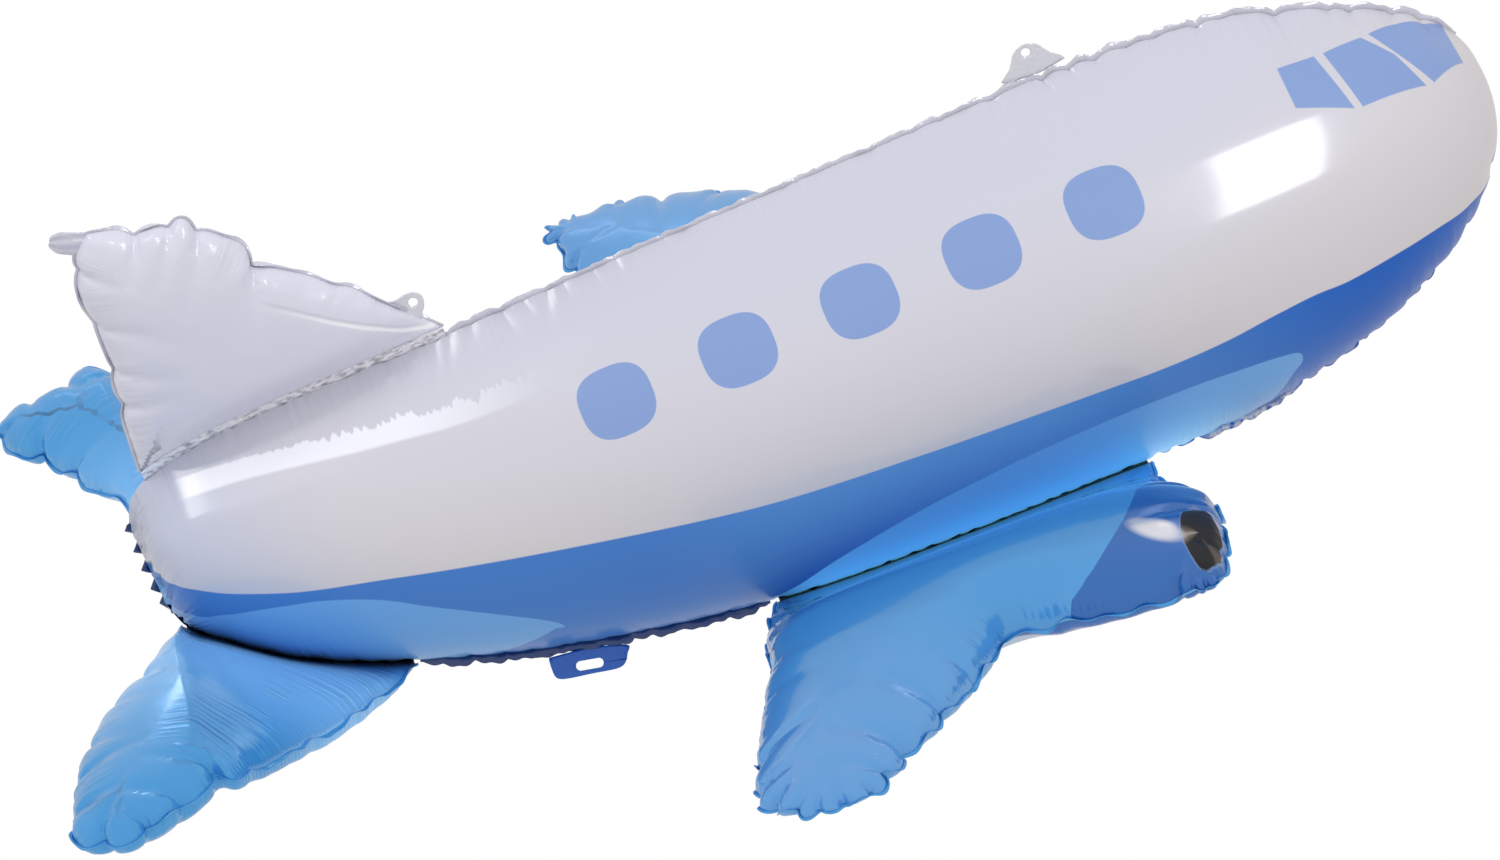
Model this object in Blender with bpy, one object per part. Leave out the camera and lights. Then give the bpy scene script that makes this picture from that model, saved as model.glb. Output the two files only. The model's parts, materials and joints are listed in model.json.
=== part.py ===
"""Inflated foil balloon in the form of an airliner.

Built level, nose towards +X and top towards +Z. The origin is the point on the
fuselage's middle line over the middle of the wing roots, where the lift of the
gas is taken to act. All sizes are in metres.
"""

import math

import bmesh
import bpy
from mathutils import Matrix, Vector

# Film, seams and gaps
WALL = 0.010            # wall that stands for the fuselage's film
GAP = 0.0003            # between pieces that touch
FLANGE = 0.007          # width of the heat-sealed film beyond a seam
FILM = 0.0012           # thickness that stands for the two sealed layers
EDGE = 0.0006           # half thickness of an inflated panel at its seam

# Fuselage
TAIL_X = -0.5200        # tail end seam
NOSE_START_X = 0.150    # where the nose starts to round off
NOSE_TIP_X = 0.4500
NOSE_SEAM_END = 0.4350  # where the lower seams' flanges end
NOSE_RISE = 0.021       # the nose tip is this far above the middle line
NOSE_POWERS = (2.2, 2.3)        # how soon the nose tapers, and how blunt its end is
RIDGE = math.radians(33)        # slope of each side panel at the spine seam
BELLY = math.radians(33)        # half angle of the belly panel
FUSELAGE_RINGS = 13             # rings along the nose
FUSELAGE_STEPS = 12             # steps round a side panel
BELLY_STEPS = 6

# Fuselage behind the nose: x, half width, half height, height of the middle
FUSELAGE_STATIONS = (
    (-0.5200, 0.0030, 0.0330, 0.0690),
    (-0.5120, 0.0340, 0.0470, 0.0690),
    (-0.4900, 0.0590, 0.0590, 0.0675),
    (-0.4400, 0.0800, 0.0800, 0.0520),
    (-0.3770, 0.0955, 0.0955, 0.0370),
    (-0.2665, 0.1125, 0.1125, 0.0170),
    (-0.1220, 0.1270, 0.1270, 0.0040),
    (0.0000, 0.1310, 0.1310, 0.0005),
    (0.1500, 0.1330, 0.1330, 0.0005),
)

# Wings, in a plane that leaves the lower seam at the dihedral angle
WING_ROOT_X = (-0.1300, 0.1414)
WING_DIHEDRAL = math.radians(12)
ROOT_SEAL = (0.0020, 0.0050)    # sealed film between a root and its seam: start, end
PANEL_STEPS = 12                # steps across an inflated panel

# Wing rows: distance out from the root, trailing edge x, leading edge x,
# half thickness, half thickness left at the leading edge
WING_ROWS = (
    (0.0000, -0.1300, 0.1414, 0.0008, 0.0008),
    (0.0100, -0.1332, 0.1370, 0.0200, 0.0030),
    (0.0200, -0.1364, 0.1335, 0.0286, 0.0060),
    (0.0350, -0.1420, 0.1305, 0.0345, 0.0120),
    (0.0500, -0.1468, 0.1280, 0.0390, 0.0186),
    (0.0800, -0.1502, 0.1240, 0.0438, 0.0283),
    (0.1100, -0.1516, 0.1190, 0.0452, 0.0314),
    (0.1400, -0.1624, 0.1066, 0.0436, 0.0346),
    (0.1650, -0.1695, 0.0938, 0.0408, 0.0347),
    (0.1800, -0.1733, 0.0815, 0.0383, 0.0300),
    (0.1900, -0.1755, 0.0650, 0.0362, 0.0240),
    (0.2000, -0.1777, 0.0100, 0.0339, 0.0090),
    (0.2060, -0.1790, -0.0120, 0.0325, 0.0008),
    (0.2200, -0.1825, -0.0205, 0.0301, 0.0008),
    (0.2400, -0.1870, -0.0345, 0.0262, 0.0008),
    (0.2600, -0.1910, -0.0491, 0.0223, 0.0008),
    (0.2800, -0.1921, -0.0634, 0.0186, 0.0008),
    (0.3000, -0.1897, -0.0855, 0.0147, 0.0008),
    (0.3150, -0.1757, -0.0974, 0.0112, 0.0008),
    (0.3270, -0.1626, -0.1052, 0.0081, 0.0008),
    (0.3360, -0.1496, -0.1122, 0.0054, 0.0008),
    (0.3410, -0.1420, -0.1190, 0.0012, 0.0008),
)

# Engine pod rows: distance out from the wing root, rear x, front x, half thickness,
# half thickness left at the rear. Up to the joint, the rear is the wing's leading edge.
ENGINE_ROWS = (
    (0.0200, 0.1341, 0.1397, 0.0069, 0.0060),
    (0.0350, 0.1311, 0.1412, 0.0110, 0.0120),
    (0.0500, 0.1286, 0.1431, 0.0162, 0.0186),
    (0.0800, 0.1246, 0.1530, 0.0272, 0.0283),
    (0.1100, 0.1196, 0.1613, 0.0301, 0.0314),
    (0.1400, 0.1072, 0.1612, 0.0337, 0.0346),
    (0.1650, 0.0944, 0.1584, 0.0347, 0.0347),
    (0.1800, 0.0821, 0.1562, 0.0330, 0.0300),
    (0.1900, 0.0656, 0.1547, 0.0300, 0.0240),
    (0.2000, 0.0106, 0.1532, 0.0260, 0.0090),
    (0.2100, 0.0236, 0.1506, 0.0201, 0.0008),
    (0.2200, 0.0471, 0.1474, 0.0157, 0.0008),
    (0.2300, 0.0792, 0.1424, 0.0111, 0.0008),
    (0.2370, 0.1068, 0.1352, 0.0060, 0.0008),
    (0.2400, 0.1150, 0.1300, 0.0012, 0.0008),
)
ENGINE_OUTER_ROW = 10   # first row of the pod beyond the wing's leading edge
WING_SHARES = (1.1, 0.5)        # how much of a wing's half thickness is above and below its rim
CLEARANCE = 0.002       # between a swollen panel and the fuselage beside it

# Tailplanes, which leave the lower seam in the same way
TAILPLANE_ROOT_X = (-0.5060, -0.3700)
TAILPLANE_DIHEDRAL = math.radians(9)

# Tailplane rows: distance out from the root, rear x, front x, half thickness,
# half thickness left at the front edge. The left one is folded in more at its rear.
TAILPLANE_ROWS_RIGHT = (
    (0.0000, -0.5000, -0.3740, 0.0008, 0.0008),
    (0.0100, -0.5160, -0.3775, 0.0120, 0.0008),
    (0.0200, -0.5268, -0.3807, 0.0177, 0.0008),
    (0.0400, -0.5404, -0.3934, 0.0214, 0.0008),
    (0.0600, -0.5521, -0.4066, 0.0235, 0.0008),
    (0.0800, -0.5641, -0.4183, 0.0247, 0.0008),
    (0.1000, -0.5764, -0.4302, 0.0253, 0.0008),
    (0.1200, -0.5859, -0.4412, 0.0253, 0.0008),
    (0.1400, -0.5930, -0.4525, 0.0251, 0.0008),
    (0.1600, -0.5987, -0.4647, 0.0243, 0.0008),
    (0.1800, -0.6025, -0.4772, 0.0228, 0.0008),
    (0.2000, -0.6045, -0.4890, 0.0210, 0.0008),
    (0.2200, -0.6041, -0.5021, 0.0188, 0.0008),
    (0.2400, -0.6000, -0.5178, 0.0142, 0.0008),
    (0.2500, -0.5944, -0.5272, 0.0118, 0.0008),
    (0.2570, -0.5885, -0.5370, 0.0090, 0.0008),
    (0.2630, -0.5780, -0.5500, 0.0012, 0.0008),
)
TAILPLANE_ROWS_LEFT = (
    (0.0000, -0.5000, -0.3740, 0.0008, 0.0008),
    (0.0100, -0.5050, -0.3775, 0.0100, 0.0008),
    (0.0200, -0.5082, -0.3809, 0.0149, 0.0008),
    (0.0400, -0.5102, -0.3931, 0.0180, 0.0008),
    (0.0600, -0.5118, -0.4042, 0.0191, 0.0008),
    (0.0800, -0.5144, -0.4153, 0.0190, 0.0008),
    (0.1000, -0.5182, -0.4263, 0.0181, 0.0008),
    (0.1200, -0.5277, -0.4378, 0.0177, 0.0008),
    (0.1400, -0.5427, -0.4485, 0.0174, 0.0008),
    (0.1600, -0.5547, -0.4587, 0.0173, 0.0008),
    (0.1800, -0.5690, -0.4690, 0.0170, 0.0008),
    (0.2000, -0.5810, -0.4796, 0.0160, 0.0008),
    (0.2200, -0.5880, -0.4905, 0.0131, 0.0008),
    (0.2300, -0.5871, -0.4970, 0.0105, 0.0008),
    (0.2380, -0.5822, -0.5040, 0.0080, 0.0008),
    (0.2430, -0.5650, -0.5120, 0.0012, 0.0008),
)

# Fin rows: height, rear x, front x, half thickness, half thickness left in front.
# The lowest row follows the spine.
FIN_ROWS = (
    (0.1560, -0.4880, -0.2740, 0.0008, 0.0008),
    (0.1660, -0.4860, -0.2769, 0.0140, 0.0008),
    (0.1760, -0.4840, -0.2810, 0.0189, 0.0008),
    (0.1960, -0.4805, -0.2948, 0.0230, 0.0008),
    (0.2160, -0.4787, -0.3127, 0.0245, 0.0008),
    (0.2360, -0.4780, -0.3325, 0.0241, 0.0008),
    (0.2560, -0.4788, -0.3529, 0.0228, 0.0008),
    (0.2760, -0.4789, -0.3688, 0.0202, 0.0008),
    (0.2910, -0.4781, -0.3787, 0.0171, 0.0008),
    (0.3060, -0.4734, -0.3931, 0.0129, 0.0008),
    (0.3140, -0.4689, -0.4077, 0.0090, 0.0008),
    (0.3190, -0.4620, -0.4350, 0.0012, 0.0008),
)

# Flat tabs: width, height, hole width, hole height
TAB_HOLE = 0.0065
TAB_RIM = 0.0030         # film left beyond a tab's hole
SPINE_TAB = (0.0480, 0.0230, TAB_HOLE, TAB_HOLE)
FIN_TAB = (0.0260, 0.0130, TAB_HOLE, TAB_HOLE)
BELLY_TAB = (0.0540, 0.0160, 0.0190, 0.0065)
SPINE_TAB_X = 0.1620
FIN_TAB_ROW = 2
FIN_TAB_SHIFT = 0.0060          # up along the fin's front edge from that row
BELLY_TAB_X = -0.2600
SPINE_SEAM_START = 0.004        # in front of the fin
ROOT_TO_SEAM = 0.006            # from a wing's or tailplane's root to the open lower seam
TAIL_SEAM_X = (-0.5040, -0.5120)        # where the tail end's flange runs up over the spine
BELLY_ENDS = (0.0050, 0.0010)           # the belly panel stops this far from tail and nose
FILLER = (0.0150, 0.0200)       # filler tail on the fin: width, length
FILLER_ROW = 9          # its seat runs from this fin row's rear to the next one's

# Colours: linear red, green, blue
PEARL = (0.66, 0.66, 0.72)
ROYAL_BLUE = (0.053, 0.171, 0.485)
LIGHT_BLUE = (0.114, 0.328, 0.680)
ENGINE_BLUE = (0.071, 0.188, 0.514)
SILVER = (0.45, 0.45, 0.50)


def clear_scene():
    for thing in list(bpy.data.objects):
        bpy.data.objects.remove(thing, do_unlink=True)


def new_collection(name):
    group = bpy.data.collections.new(name)
    bpy.context.scene.collection.children.link(group)
    return group


def foil(name, color, roughness=0.28, metallic=0.15):
    material = bpy.data.materials.new(name)
    material.use_nodes = True
    shader = material.node_tree.nodes["Principled BSDF"]
    shader.inputs["Base Color"].default_value = (*color, 1.0)
    shader.inputs["Roughness"].default_value = roughness
    shader.inputs["Metallic"].default_value = metallic
    return material


def add_object(name, mesh, material):
    mesh.materials.clear()
    mesh.materials.append(material)
    mesh.shade_smooth()
    mesh.set_sharp_from_angle(angle=math.radians(40))
    piece = bpy.data.objects.new(name, mesh)
    PARTS.objects.link(piece)
    return piece


def face_outwards(work):
    """Turn every face of a closed body outwards."""
    bmesh.ops.recalc_face_normals(work, faces=work.faces)
    if work.calc_volume(signed=True) < 0:
        bmesh.ops.reverse_faces(work, faces=work.faces)


def loft(name, rings, material):
    """A closed solid through rings of equal count, each one edge and then the other back."""
    work = bmesh.new()
    rows = [[work.verts.new(point) for point in ring] for ring in rings]
    count = len(rows[0])
    for low, high in zip(rows, rows[1:]):
        for i in range(count):
            j = (i + 1) % count
            work.faces.new((low[i], low[j], high[j], high[i]))
    for row in (rows[0], rows[-1]):
        for i in range(count // 2 - 1):
            work.faces.new((row[i], row[i + 1], row[count - 2 - i], row[count - 1 - i]))
    face_outwards(work)
    mesh = bpy.data.meshes.new(name)
    work.to_mesh(mesh)
    work.free()
    return add_object(name, mesh, material)


def table_value(table, column, at):
    """A column of a table read at a place between its rows, as a smooth curve."""
    rows = [(row[0], row[column]) for row in table]
    index = max(i for i in range(len(rows) - 1) if rows[i][0] <= at or i == 0)
    slopes = []
    for i in (index, index + 1):
        before = rows[max(i - 1, 0)]
        after = rows[min(i + 1, len(rows) - 1)]
        slopes.append((after[1] - before[1]) / (after[0] - before[0]))
    (x0, y0), (x1, y1) = rows[index], rows[index + 1]
    span = x1 - x0
    t = (at - x0) / span
    rise = y1 - y0
    bend = (slopes[0] * span * (1 - t) ** 2 * t) - (slopes[1] * span * (1 - t) * t ** 2)
    return y0 + rise * (3 * t ** 2 - 2 * t ** 3) + bend


def fuselage_size(x):
    """Half width, half height and middle height of the fuselage at x."""
    if x <= NOSE_START_X:
        return tuple(table_value(FUSELAGE_STATIONS, column, x) for column in (1, 2, 3))
    _, width, height, middle = FUSELAGE_STATIONS[-1]
    t = min((x - NOSE_START_X) / (NOSE_TIP_X - NOSE_START_X), 1.0)
    taper, blunt = NOSE_POWERS
    scale = max((1 - t ** taper) ** (1 / blunt), 0.03)
    return width * scale, height * scale, middle + NOSE_RISE * t ** 2.5


def ridge_factor(angle):
    """How far the skin stands off a plain round: the side panels rise to a ridge."""
    return 1 / math.cos(max(RIDGE - abs(angle), 0.0))


def skin(x, angle, inset=0.0):
    """A point of the fuselage, with the angle taken from the top towards -Y."""
    width, height, middle = fuselage_size(x)
    step = 0.0015
    ahead = min(x + step, NOSE_TIP_X)
    behind = max(x - step, TAIL_X)
    slope = (fuselage_size(ahead)[0] - fuselage_size(behind)[0]) / (ahead - behind)
    length = math.hypot(1.0, slope)
    inner_width = max(width - inset / length, 0.3 * width)
    inner_height = max(height - inset / length, 0.3 * height)
    reach = ridge_factor(angle)
    return Vector((
        x + inset * slope / length,
        -inner_width * reach * math.sin(angle),
        middle + inner_height * reach * math.cos(angle),
    ))


def skin_outward(x, angle):
    """The direction straight out of the fuselage in the plane of its section and axis."""
    out = skin(x, angle) - skin(x, angle, 0.002)
    return out.normalized()


def fuselage_rings(first, last):
    """Places of the rings: close together where the tail and the nose round off."""
    places = [x for x, *_ in FUSELAGE_STATIONS]
    places += [(a + b) / 2 for a, b in zip(places[3:], places[4:])]
    for i in range(1, FUSELAGE_RINGS + 1):
        turn = math.sin(math.pi / 2 * i / FUSELAGE_RINGS) ** 0.85
        places.append(NOSE_START_X + (NOSE_TIP_X - NOSE_START_X) * turn)
    return sorted({round(x, 5) for x in places if first <= x <= last})


def panel_edge(x, angle):
    """A point on the straight edge between the two rings of the fuselage around x."""
    places = fuselage_rings(TAIL_X, NOSE_TIP_X)
    after = next(place for place in places if place >= x - 1e-7)
    before = max([place for place in places if place <= x], default=after)
    if after - before < 1e-6:
        return skin(after, angle)
    share = (x - before) / (after - before)
    return skin(before, angle).lerp(skin(after, angle), share)


def side_panel(name, side, material):
    """One side panel of the fuselage, from the spine seam to its lower seam."""
    rings = []
    for x in fuselage_rings(TAIL_X, NOSE_TIP_X):
        ring = []
        for inset in (0.0, WALL):
            arc = [(math.pi - BELLY) * i / FUSELAGE_STEPS for i in range(FUSELAGE_STEPS + 1)]
            points = [skin(x, angle, inset) for angle in arc]
            ring += points if inset == 0.0 else points[::-1]
        for point in ring:
            point.y = side * (abs(point.y) + GAP / 2)
        rings.append(ring)
    return loft(name, rings, material)


def belly_panel(name, material):
    """The belly panel between the two lower seams."""
    rings = []
    for x in fuselage_rings(TAIL_X + BELLY_ENDS[0], NOSE_TIP_X - BELLY_ENDS[1]):
        half = BELLY - min(2 * GAP / fuselage_size(x)[0], 0.5 * BELLY)
        arc = [math.pi - half + 2 * half * i / BELLY_STEPS for i in range(BELLY_STEPS + 1)]
        outer = [skin(x, angle) for angle in arc]
        inner = [skin(x, angle, WALL) for angle in arc]
        rings.append(outer + inner[::-1])
    return loft(name, rings, material)


def ribbon(name, path, material):
    """A thin strip. The path gives each place, the way out and the way through it."""
    rings = []
    for place, out, through, start, end in path:
        half = through * (FILM / 2)
        base = place + out * start
        tip = place + out * end
        rings.append([base - half, base + half, tip + half, tip - half])
    return loft(name, rings, material)


def seam_path(first, last, angle, side, start=GAP, end=FLANGE):
    """The path of a fuselage seam's flange along one angle of the skin."""
    path = []
    places = [x for x in fuselage_rings(first, last) if first + 0.004 < x < last - 0.004]
    for x in [first] + places + [last]:
        place = panel_edge(x, angle)
        out = skin_outward(x, angle)
        ahead = skin(min(x + 0.001, NOSE_TIP_X), angle) - skin(x - 0.001, angle)
        through = ahead.cross(out).normalized()
        flip = Vector((1, -side, 1))
        path.append((place * flip, out * flip, through * flip, start, end))
    return path


def round_edge(t):
    """Thickness across a panel sealed at both edges, as a part of the fullest."""
    return max(1 - (2 * t - 1) ** 2, 0.0) ** 0.6


def panel_share(i):
    """How far across a panel its step i lies: close together at both edges."""
    return (1 - math.cos(math.pi * i / PANEL_STEPS)) / 2


def panel_rings(rows, place, shares=(1.0, 1.0)):
    """Rings of an inflated panel sealed at its rim, from rows across it.

    The shares are how much of its half thickness is above and below the rim."""
    above, below = shares
    rings = []
    for out, rear, front, thickness, front_edge in rows:
        upper = []
        lower = []
        for i in range(PANEL_STEPS + 1):
            t = panel_share(i)
            half = max(thickness * round_edge(t) + front_edge * t ** 4, EDGE)
            x = rear + (front - rear) * t
            upper.append(place(x, out, max(half * above, EDGE)))
            lower.append(place(x, out, -max(half * below, EDGE)))
        rings.append(upper + lower[::-1])
    return rings


def engine_rings(place):
    """Rings of an engine pod: open to the wing behind and rounded in front."""
    above, below = WING_SHARES
    rings = []
    for out, rear, front, thickness, start in ENGINE_ROWS:
        upper = []
        lower = []
        for i in range(PANEL_STEPS + 1):
            t = math.sin(math.pi / 2 * i / PANEL_STEPS)
            full = start + (thickness - start) * min(3 * t, 1.0)
            half = full * math.sqrt(1 - max((t - 0.35) / 0.65, 0.0) ** 3)
            x = rear + (front - rear) * t
            upper.append(place(x, out, max(half * above, EDGE)))
            lower.append(place(x, out, -max(half * below, EDGE)))
        rings.append(upper + lower[::-1])
    return rings


def beyond(points, i, reach):
    """The flat point this far outside point i of an edge that is taken counterclockwise."""
    before = points[max(i - 1, 0)]
    after = points[min(i + 1, len(points) - 1)]
    run = (after[0] - before[0], after[1] - before[1])
    length = math.hypot(*run)
    return points[i][0] + run[1] / length * reach, points[i][1] - run[0] / length * reach


def rim(name, points, place, material):
    """A flange round a panel, from the flat points of its edge."""
    rings = []
    for i in range(len(points)):
        inner = beyond(points, i, GAP)
        outer = beyond(points, i, FLANGE)
        rings.append([place(*flat, half * FILM / 2)
                      for flat, half in ((inner, -1), (inner, 1), (outer, 1), (outer, -1))])
    return loft(name, rings, material)


def plate(name, outline, hole, thickness, matrix, material):
    """A flat plate with one hole, from its outline and the hole's width and height."""
    curve = bpy.data.curves.new(name, "CURVE")
    curve.dimensions = "2D"
    curve.fill_mode = "BOTH"
    curve.extrude = thickness / 2
    curve.resolution_u = 12
    curve.render_resolution_u = 0
    loops = [outline]
    if hole:
        width, height, centre = hole
        steps = 16
        straight = (width - height) / 2
        points = []
        for i in range(steps):
            turn = 2 * math.pi * (i + 0.5) / steps
            shift = straight if math.cos(turn) > 0 else -straight
            points.append((shift + height / 2 * math.cos(turn),
                           centre + height / 2 * math.sin(turn)))
        loops.append(points)
    for loop in loops:
        spline = curve.splines.new("POLY")
        spline.points.add(len(loop) - 1)
        for point, (x, y) in zip(spline.points, loop):
            point.co = (x, y, 0.0, 1.0)
        spline.use_cyclic_u = True
    flat = bpy.data.objects.new(name + "_outline", curve)
    PARTS.objects.link(flat)
    bpy.context.view_layer.update()
    mesh = bpy.data.meshes.new_from_object(flat.evaluated_get(
        bpy.context.evaluated_depsgraph_get()))
    bpy.data.objects.remove(flat, do_unlink=True)
    work = bmesh.new()
    work.from_mesh(mesh)
    bmesh.ops.remove_doubles(work, verts=work.verts, dist=0.00001)
    work.transform(matrix)
    face_outwards(work)
    work.to_mesh(mesh)
    work.free()
    mesh.name = name
    return add_object(name, mesh, material)


def tab_outline(width, height):
    """A tab that is wide where it is carried and rounded at its free end."""
    top = width * 0.42
    points = [(-width / 2, 0.0), (width / 2, 0.0)]
    for i in range(9):
        turn = math.pi / 2 * i / 8
        points.append((top - height * 0.5 * (1 - math.cos(turn)),
                       height * (0.5 + 0.5 * math.sin(turn))))
    for i in range(9):
        turn = math.pi / 2 * (1 - i / 8)
        points.append((-top + height * 0.5 * (1 - math.cos(turn)),
                       height * (0.5 + 0.5 * math.sin(turn))))
    return points


def frame_matrix(place, along, out):
    """A flat frame at a place: its X runs along, its Y runs out."""
    along = along.normalized()
    out = (out - along * out.dot(along)).normalized()
    through = along.cross(out)
    matrix = Matrix((along, out, through)).transposed().to_4x4()
    matrix.translation = place
    return matrix


def tab(name, size, place, along, out, material):
    width, height, hole_width, hole_height = size
    hole = (hole_width, hole_height, height - hole_height / 2 - TAB_RIM)
    matrix = frame_matrix(place, along, out)
    return plate(name, tab_outline(width, height), hole, FILM, matrix, material)


def seam_root(x, root_x):
    """The point of the right lower seam that carries a root at x."""
    return panel_edge(min(max(x, root_x[0]), root_x[1]), math.pi - BELLY)


def in_fuselage(point):
    """Whether a point lies in the round of the fuselage or nearer to it than the clearance."""
    width, height, middle = fuselage_size(min(max(point.x, TAIL_X), NOSE_TIP_X))
    across = point.y / (width + CLEARANCE)
    return across ** 2 + ((point.z - middle) / (height + CLEARANCE)) ** 2 < 1


def appendage_place(side, root_x, dihedral):
    """A function that puts a flat point of a wing or tailplane in space.

    A point above the rim is kept from sinking into the fuselage."""
    outward = Vector((0.0, -math.cos(dihedral), math.sin(dihedral)))
    upward = Vector((0.0, math.sin(dihedral), math.cos(dihedral)))

    def place(x, out, up):
        root = seam_root(x, root_x)
        base = root + outward * (ROOT_SEAL[1] + GAP + out)
        base.x = x
        while up > EDGE and in_fuselage(base + upward * up):
            up = max(0.95 * up, EDGE)
        point = base + upward * up
        return Vector((point.x, side * -point.y, point.z))

    return place


def root_seal(name, root_row, place, material):
    """The sealed strip that joins a panel's root row to the lower seam."""
    rings = []
    start = ROOT_SEAL[0] - ROOT_SEAL[1] - GAP
    for i in range(PANEL_STEPS + 1):
        x = root_row[1] + (root_row[2] - root_row[1]) * panel_share(i)
        ring = [place(x, reach, half * FILM / 2)
                for reach, half in ((start, -1), (start, 1), (-GAP, 1), (-GAP, -1))]
        rings.append(ring)
    return loft(name, rings, material)


def outline_points(rows, first=0):
    """The edge of a panel: out along its front, round its tip and back along its rear.

    The rear ends at the row beside the root, where the fuselage bulges out."""
    front = [(row[2], row[0]) for row in rows[first:]]
    rear = [(row[1], row[0]) for row in rows[:0:-1]]
    return front + rear


def wing(side, word, light, dark):
    place = appendage_place(side, WING_ROOT_X, WING_DIHEDRAL)
    loft("wing_" + word, panel_rings(WING_ROWS, place, WING_SHARES), light)
    rim("wing_seam_" + word, outline_points(WING_ROWS, ENGINE_OUTER_ROW + 2), place, light)
    root_seal("wing_root_seal_" + word, WING_ROWS[0], place, dark)
    loft("engine_pod_" + word, engine_rings(place), dark)
    points = [(row[2], row[0]) for row in ENGINE_ROWS]
    points += [(row[1], row[0]) for row in ENGINE_ROWS[:ENGINE_OUTER_ROW - 1:-1]]
    rim("engine_seam_" + word, points, place, dark)


def tailplane(side, word, rows, light, dark):
    place = appendage_place(side, TAILPLANE_ROOT_X, TAILPLANE_DIHEDRAL)
    loft("tailplane_" + word, panel_rings(rows, place), light)
    rim("tailplane_seam_" + word, outline_points(rows), place, light)
    root_seal("tailplane_root_seal_" + word, rows[0], place, dark)


def fin_place(x, height, across):
    """A point of the fin. Its foot follows the spine and its top keeps its height."""
    foot = FIN_ROWS[0][0]
    top = FIN_ROWS[-1][0]
    spine = panel_edge(min(max(x, TAIL_X), NOSE_TIP_X), 0.0).z + FLANGE
    share = max(1 - (height - foot) / (top - foot), 0.0)
    return Vector((x, across, height + (spine - foot) * share))


def fin(pearl, silver):
    points = outline_points(FIN_ROWS)
    loft("fin", panel_rings(FIN_ROWS, fin_place), pearl)
    rim("fin_seam", points, fin_place, pearl)
    front = Vector((FIN_ROWS[FIN_TAB_ROW][2], 0.0, FIN_ROWS[FIN_TAB_ROW][0]))
    above = Vector((FIN_ROWS[FIN_TAB_ROW + 1][2], 0.0, FIN_ROWS[FIN_TAB_ROW + 1][0]))
    along = (above - front).normalized()
    out = Vector((along.z, 0.0, -along.x))
    middle = fin_place(front.x, front.z, 0.0)
    middle += out * (FLANGE + 2 * GAP) + along * FIN_TAB_SHIFT
    tab("fin_tab", FIN_TAB, middle, along, out, silver)
    seat = 2 * len(FIN_ROWS) - 1 - FILLER_ROW
    low = fin_place(*beyond(points, seat, FLANGE), 0.0)
    high = fin_place(*beyond(points, seat - 1, FLANGE), 0.0)
    along = (high - low).normalized()
    away = Vector((-along.z, 0.0, along.x))
    width, length = FILLER
    strip = [(-width / 2, 0.0), (width / 2, 0.0), (width / 2, length * 0.7),
             (width * 0.3, length), (-width * 0.3, length), (-width / 2, length * 0.7)]
    matrix = frame_matrix((low + high) / 2 + away * GAP, along, away)
    plate("filler_tail", strip, None, FILM, matrix, pearl)


def level_place(x, height, across):
    return Vector((x, across, height))


def spine(pearl, silver):
    """The flange of the spine seam in front of the fin, the fin's foot and the tail end."""
    fin_front = FIN_ROWS[0][2]
    nose = [fin_front + SPINE_SEAM_START] + fuselage_rings(fin_front + 0.01, NOSE_TIP_X)
    points = [(skin(x, 0.0).x, skin(x, 0.0).z) for x in nose[::-1]]
    rim("spine_seam", points, level_place, pearl)
    fin_rear = FIN_ROWS[0][1]
    rings = []
    for i in range(PANEL_STEPS + 1):
        x = fin_rear + (fin_front - fin_rear) * panel_share(i)
        low = panel_edge(x, 0.0).z + 2.5 * GAP
        high = fin_place(x, FIN_ROWS[0][0], 0.0).z - GAP
        rings.append([level_place(x, z, y * FILM / 2)
                      for z, y in ((low, -1), (low, 1), (high, 1), (high, -1))])
    loft("fin_root_seal", rings, silver)
    points = [(x, panel_edge(x, 0.0).z) for x in TAIL_SEAM_X]
    top = skin(TAIL_X, 0.0).z
    bottom = skin(TAIL_X, math.pi - BELLY).z
    points += [(TAIL_X, top + (bottom - top) * i / 4) for i in range(5)]
    rim("tail_seam", points, level_place, pearl)
    place = skin(SPINE_TAB_X, 0.0)
    out = skin_outward(SPINE_TAB_X, 0.0)
    along = Vector((out.z, 0.0, -out.x))
    tab("spine_tab", SPINE_TAB, place + out * (FLANGE + 2 * GAP), along, out, silver)


def lower_seams(side, word, royal):
    angle = math.pi - BELLY
    front = seam_path(WING_ROOT_X[1] + ROOT_TO_SEAM, NOSE_SEAM_END, angle, side, 2 * GAP)
    ribbon("lower_seam_front_" + word, front, royal)
    last = WING_ROOT_X[0] - 2 * ROOT_TO_SEAM
    rear = seam_path(TAILPLANE_ROOT_X[1] + ROOT_TO_SEAM, last, angle, side)
    ribbon("lower_seam_rear_" + word, rear, royal)
    flip = Vector((1, -side, 1))
    width = BELLY_TAB[0]
    place = skin(BELLY_TAB_X, angle)
    out = skin_outward(BELLY_TAB_X, angle)
    ahead = skin(BELLY_TAB_X + width / 2, angle) - skin(BELLY_TAB_X - width / 2, angle)
    place = (place + out * (FLANGE + 2 * GAP)) * flip
    tab("belly_tab_" + word, BELLY_TAB, place, ahead * flip, out * flip, royal)


def main():
    pearl = foil("pearl_white_foil", PEARL)
    royal = foil("royal_blue_foil", ROYAL_BLUE)
    light = foil("light_blue_foil", LIGHT_BLUE)
    dark = foil("engine_blue_foil", ENGINE_BLUE)
    silver = foil("clear_silver_film", SILVER, metallic=0.6)
    belly_panel("fuselage_belly", royal)
    spine(pearl, silver)
    fin(pearl, silver)
    for side, word, rows in ((-1, "right", TAILPLANE_ROWS_RIGHT), (1, "left", TAILPLANE_ROWS_LEFT)):
        side_panel("fuselage_side_" + word, side, pearl)
        lower_seams(side, word, royal)
        wing(side, word, light, dark)
        tailplane(side, word, rows, light, royal)


clear_scene()
PARTS = new_collection("airliner_foil_balloon")
main()
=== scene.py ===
import json
import math

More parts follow.
